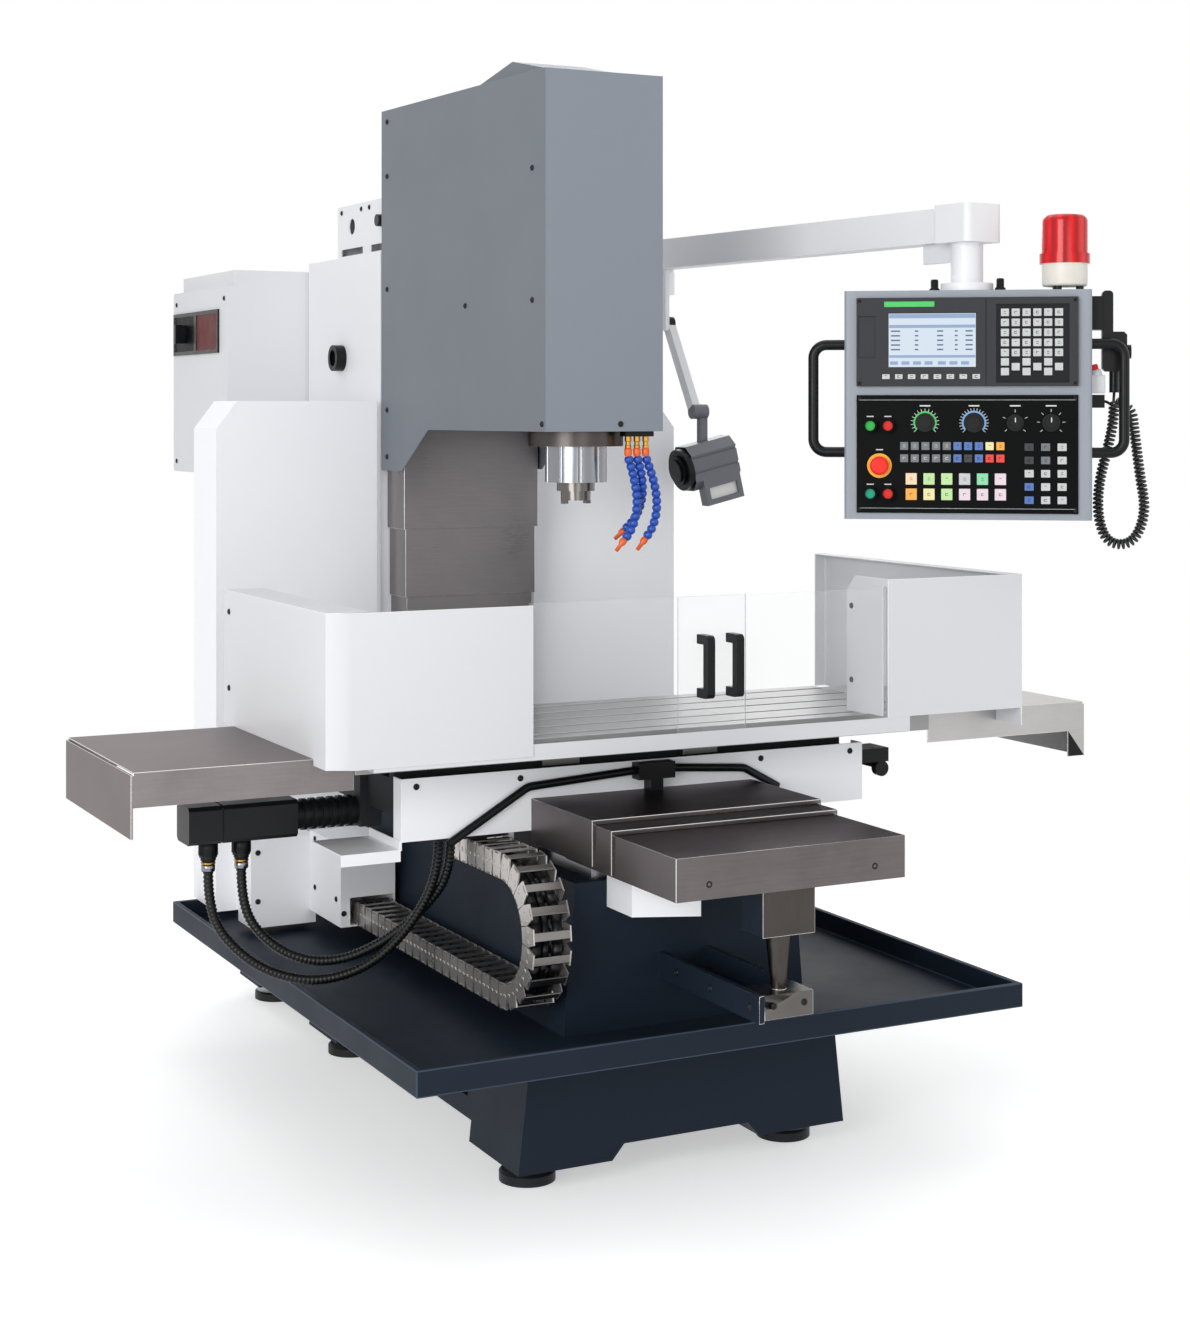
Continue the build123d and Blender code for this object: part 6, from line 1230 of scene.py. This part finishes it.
FITTING_X = (0.076, 0.099, 0.122)
MANIFOLD = ((0.062, -0.575, 1.559), (0.136, -0.545, 1.571))
MANIFOLD_Y = -0.560
FITTING_LOW, SOCKET_LOW = 1.533, 1.513
BEADS, BEAD_PITCH = 12, 0.0168
HOSE_SHAPES = ((-18, 50, 0.06), (-18, 40, 1.0), (-22, 48, 0.12))
NUT = ((0.0078, 0), (0.0078, 0.011), (0.006, 0.0125), (0.006, 0.02), (0.0072, 0.021), (0.0072, 0.026))
HOSE_SOCKET = ((0.0066, 0), (0.009, 0.003), (0.009, 0.015), (0.0075, 0.018), (0.0075, 0.02))
BEAD = (
    *((0.0068, 0), (0.0093, 0.0022), (0.0108, 0.0062)),
    *((0.0108, 0.0095), (0.0095, 0.0134), (0.0068, BEAD_PITCH)),
)
NOZZLE = (
    *((0.0064, 0), (0.0085, 0.003), (0.0085, 0.011), (0.0052, 0.017)),
    *((0.0046, 0.034), (0.0034, 0.034), (0.0034, 0.026)),
)


def bead_places():
    """Place, heading and cross direction of each hose bead, and of the three nozzles."""
    beads, tips = [], []
    for x, (lean, bend, back) in zip(FITTING_X, HOSE_SHAPES):
        place = Vector((x, MANIFOLD_Y, SOCKET_LOW))
        for index in range(BEADS):
            share = index / BEADS
            turn = math.radians(lean + (bend - lean) * share**2)
            heading = Vector((-math.sin(turn), back * share, -math.cos(turn))).normalized()
            beads.append((place.copy(), heading, BACK))
            place += heading * BEAD_PITCH
        tips.append((place, heading, BACK))
    return beads, tips


class MACHINE_OT_coolant(Step, bpy.types.Operator):
    """Coolant manifold with brass fittings, jointed hoses and their nozzles"""

    bl_idname = "machine.coolant"
    bl_label = "Coolant Nozzles"

    def make(self, scene):
        bm = bmesh.new()
        box_into(bm, *MANIFOLD, bevel=0.0015)
        block = piece_from("coolant_manifold", bm, ("grip",), "head")
        heights = (MANIFOLD[0][2], FITTING_LOW)
        tops, sockets = ([(Vector((x, MANIFOLD_Y, z)), DOWN, BACK) for x in FITTING_X] for z in heights)
        beads, tips = bead_places()
        for name, profile, places, sides, finish, slot, smooth in (
            ("coolant_fittings", NUT, tops, 6, "brass", "steel", False),
            ("hose_sockets", HOSE_SOCKET, sockets, 14, "orange_nozzle", "hose_blue", True),
            ("jointed_hoses", BEAD, beads, 14, "blue_hose", "hose_blue", True),
            ("hose_nozzles", NOZZLE, tips, 14, "orange_nozzle", "hose_blue", True),
        ):
            template = turned_template(name + "_template", profile, sides)
            repeat(name, template, places, 1.0, finish, "head", smooth)
            bpy.data.objects.remove(template)
        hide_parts("coolant_nozzles")


POINTERS = {"mode_knob": 2, "spindle_knob": 3}
POINTER_FACE = -0.0898
PENDANT_TOP = 1.893
CLAMPS = ((-0.074, 0.014), (0.075, -0.014))
CLAMP = ((0.0125, 0), (0.0125, 0.006), (0.009, 0.009), (0.009, 0.026), (0.007, 0.029))
SOCKET = ((0.2787, -0.0075, 1.658), (0.3110, 0.0180, 1.700))
SOCKET_STAND = Matrix.Translation((0.2922, 0.004, 1.700)) @ Matrix.Rotation(-0.25, 4, "Y")
SOCKET_COLLAR = ((0.0125, -0.004), (0.0125, 0.009), (0.0095, 0.012))
SOCKET_CAP = ((0.0080, 0.011), (0.0080, 0.022), (0.0060, 0.025))
ARM_HEADING = Matrix.Translation((0.771, -0.916, 2.008)) @ Matrix.Rotation(math.atan2(-1.236, 0.141), 4, "Z")
ARM_TAB = ((-0.146, -0.004, -0.046), (-0.030, 0.004, 0.0004))


class MACHINE_OT_pendant_fittings(Step, bpy.types.Operator):
    """Clamp screws at the swivel, the enable socket on the pendant's side, the arm's stop tab and knob pointers"""

    bl_idname = "machine.pendant_fittings"
    bl_label = "Pendant Fittings"

    def make(self, scene):
        bm = bmesh.new()
        for x, y in CLAMPS:
            turned_into(bm, CLAMP, Matrix.Translation((x, y, PENDANT_TOP)), 14)
        piece_from("swivel_clamps", bm, ("grip",), "pendant", PENDANT)
        bm = bmesh.new()
        box_into(bm, *SOCKET, bevel=0.003)
        turned_into(bm, SOCKET_COLLAR, SOCKET_STAND, 18)
        turned_into(bm, SOCKET_CAP, SOCKET_STAND, 18, 1)
        piece_from("side_socket", bm, ("arm", "red_cap"), "pendant", PENDANT)
        bm = bmesh.new()
        box_into(bm, *ARM_TAB, bevel=0.002)
        piece_from("arm_tab", bm, ("arm",), "swing_arm", ARM_HEADING)
        for node, column in POINTERS.items():
            x, radius, _ = DIALS[column]
            bm = bmesh.new()
            panel_plate(bm, x - 0.0011, x + 0.0011, DIAL_Z + 0.001, DIAL_Z + radius * 0.6, POINTER_FACE)
            piece_from(node + "_pointer", bm, ("mark",), node, PENDANT)


PLUG_X, PLUG_Y, PLUG_EDGE, PLUG_RIDGES = (-0.905, -0.832), -0.507, 0.0012, 20
# Lower end, upper end, radius and finish of each ring on a plug
PLUG_RINGS = (
    (0.672, 0.701, 0.0198, 0),
    (0.6625, 0.670, 0.0165, 0),
    (0.6555, 0.6605, 0.0158, 1),
    (0.641, 0.6545, 0.0149, 2),
)


class MACHINE_OT_plugs(Step, bpy.types.Operator):
    """Ridged nuts, brass rings and sleeves of the motor's plugs"""

    bl_idname = "machine.plugs"
    bl_label = "Motor Plugs"

    def make(self, scene):
        bm = bmesh.new()
        for x in PLUG_X:
            base = Matrix.Translation((x, PLUG_Y, 0))
            for low, high, radius, index in PLUG_RINGS:
                neck = radius - PLUG_EDGE
                profile = ((neck, low), (radius, low + PLUG_EDGE), (radius, high - PLUG_EDGE), (neck, high))
                turned_into(bm, profile, base, 20, index)
            for step in range(PLUG_RIDGES):
                turn = base @ Matrix.Rotation(2 * math.pi * step / PLUG_RIDGES, 4, "Z")
                box_into(bm, (0.0192, -0.0014, 0.675), (0.0208, 0.0014, 0.698), turn=turn)
        piece_from("plug_nuts", bm, ("grip", "brass", "steel"), "saddle")


# Stage

FLOOR_HALF, FLOOR_DROP = 30.0, 0.0006
FADE_START, FADE_END = 1.2, 2.9
TARGET = Vector((0, -0.2, 1.1))
# Place, size in metres and power in watts of each lamp
LAMPS = {
    "key_light": ((-6.4, -5.2, 2.6), 4.0, 300),
    "front_light": ((-1.6, -9.0, 1.3), 3.4, 60),
    "fill_light": ((4.0, -3.6, 2.8), 3.0, 22),
    "top_light": ((0.3, 0.2, 5.2), 3.4, 40),
    "rim_light": ((2.4, 4.2, 3.6), 2.4, 40),
}


def seen_directly(tree):
    """1 where the camera sees a thing itself, in a reflection or through a clear sheet."""
    path = add(tree, "ShaderNodeLightPath").outputs
    shown = maths(tree, "MAXIMUM", path["Is Camera Ray"], path["Is Glossy Ray"])
    return maths(tree, "MAXIMUM", shown, path["Is Transmission Ray"])


def mixed(tree, share, first, second):
    """A mix of two shaders."""
    return add(tree, "ShaderNodeMixShader", links={0: share, 1: first.outputs[0], 2: second.outputs[0]})


def floor_finish(colour):
    """Matt floor that takes soft shadows near the machine and fades into the white ground."""
    material, tree, place = blank("pale_studio_floor")
    reach = add(tree, "ShaderNodeVectorMath", {"operation": "LENGTH"}, {0: place}).outputs["Value"]
    fade = ranged(tree, reach, FADE_START, FADE_END, kind="SMOOTHSTEP")
    matt = add(tree, "ShaderNodeBsdfDiffuse", {"Color": colour})
    lift = add(tree, "ShaderNodeEmission", {"Color": linear("#FFFFFF"), "Strength": 0.46})
    near = add(tree, "ShaderNodeAddShader", links={0: matt.outputs[0], 1: lift.outputs[0]})
    white = add(tree, "ShaderNodeEmission", {"Color": linear("#FFFFFF"), "Strength": 1.0})
    skin = mixed(tree, seen_directly(tree), matt, mixed(tree, fade, near, white))
    add(tree, "ShaderNodeOutputMaterial", links={"Surface": skin.outputs[0]})
    return material


class MACHINE_OT_stage(Step, bpy.types.Operator):
    """Pale floor, soft studio light and the camera"""

    bl_idname = "machine.stage"
    bl_label = "Stage"

    def make(self, scene):
        settings = scene.machine_stage
        scene.view_settings.view_transform = "Standard"
        bm = bmesh.new()
        bmesh.ops.create_grid(bm, x_segments=1, y_segments=1, size=FLOOR_HALF)
        floor = object_from("studio_floor", bm)
        floor.location.z = -FLOOR_DROP
        floor.data.materials.append(floor_finish(settings.floor))
        scene.world = bpy.data.worlds.new("studio")
        scene.world.use_nodes = True
        tree = scene.world.node_tree
        tree.nodes.clear()
        ambient = add(tree, "ShaderNodeBackground", {"Color": linear("#FCFDFF"), "Strength": 0.6})
        white = add(tree, "ShaderNodeBackground", {"Color": linear("#FFFFFF"), "Strength": 1.0})
        sky = mixed(tree, seen_directly(tree), ambient, white)
        add(tree, "ShaderNodeOutputWorld", links={"Surface": sky.outputs[0]})
        for name, (spot, size, power) in LAMPS.items():
            lamp = bpy.data.lights.new(name, "AREA")
            lamp.energy = power
            lamp.size = size
            holder = bpy.data.objects.new(name, lamp)
            scene.collection.objects.link(holder)
            holder.location = spot
            holder.rotation_euler = (TARGET - Vector(spot)).to_track_quat("-Z", "Y").to_euler()
        camera = bpy.data.cameras.new("photo_camera")
        camera.lens = settings.lens
        camera.sensor_width = 36
        camera.shift_y = settings.shift
        camera.clip_end = 100
        holder = bpy.data.objects.new("photo_camera", camera)
        scene.collection.objects.link(holder)
        holder.location = settings.place
        holder.rotation_euler = (math.pi / 2, 0, -settings.turn)
        scene.camera = holder


class MACHINE_OT_shading(Step, bpy.types.Operator):
    """Smooth shading of the curved faces of every CAD node that is shown"""

    bl_idname = "machine.shading"
    bl_label = "Curved Faces"

    def make(self, scene):
        for node in NODES:
            if node not in REPLACED:
                shade(node)


OPERATORS = (
    MACHINE_OT_stage,
    MACHINE_OT_hoses,
    MACHINE_OT_coiled_cord,
    MACHINE_OT_chain,
    MACHINE_OT_castings,
    MACHINE_OT_sheet_metal,
    MACHINE_OT_way_covers,
    MACHINE_OT_controls,
    MACHINE_OT_coolant,
    MACHINE_OT_plugs,
    MACHINE_OT_pendant_fittings,
    MACHINE_OT_screws,
    MACHINE_OT_screen,
    MACHINE_OT_scales,
    MACHINE_OT_key_marks,
    MACHINE_OT_shading,
)


class MACHINE_PT_dresser(bpy.types.Panel):
    """Lists the steps that dress the machine"""

    bl_idname = "MACHINE_PT_dresser"
    bl_label = "Machining Center"
    bl_space_type = "VIEW_3D"
    bl_region_type = "UI"
    bl_category = "Machine"

    def draw(self, context):
        for operator in OPERATORS:
            self.layout.operator(operator.bl_idname)
        for group in (context.scene.machine_colours, context.scene.machine_fittings, context.scene.machine_stage):
            for name in group.bl_rna.properties.keys():
                if name not in ("rna_type", "name"):
                    self.layout.prop(group, name)


CLASSES = (MachineColours, FittingSizes, StageSettings) + OPERATORS + (MACHINE_PT_dresser,)


def register():
    """Registers the classes and their settings."""
    for cls in CLASSES:
        bpy.utils.register_class(cls)
    bpy.types.Scene.machine_colours = bpy.props.PointerProperty(type=MachineColours)
    bpy.types.Scene.machine_fittings = bpy.props.PointerProperty(type=FittingSizes)
    bpy.types.Scene.machine_stage = bpy.props.PointerProperty(type=StageSettings)


def unregister():
    """Takes the classes and their settings out again."""
    for name in ("machine_colours", "machine_fittings", "machine_stage"):
        delattr(bpy.types.Scene, name)
    for cls in reversed(CLASSES):
        bpy.utils.unregister_class(cls)


def main():
    """Dresses the machine."""
    register()
    make_finishes(bpy.context.scene.machine_colours)
    for operator in OPERATORS:
        family, name = operator.bl_idname.split(".")
        getattr(getattr(bpy.ops, family), name)()


if __name__ == "__main__":
    main()
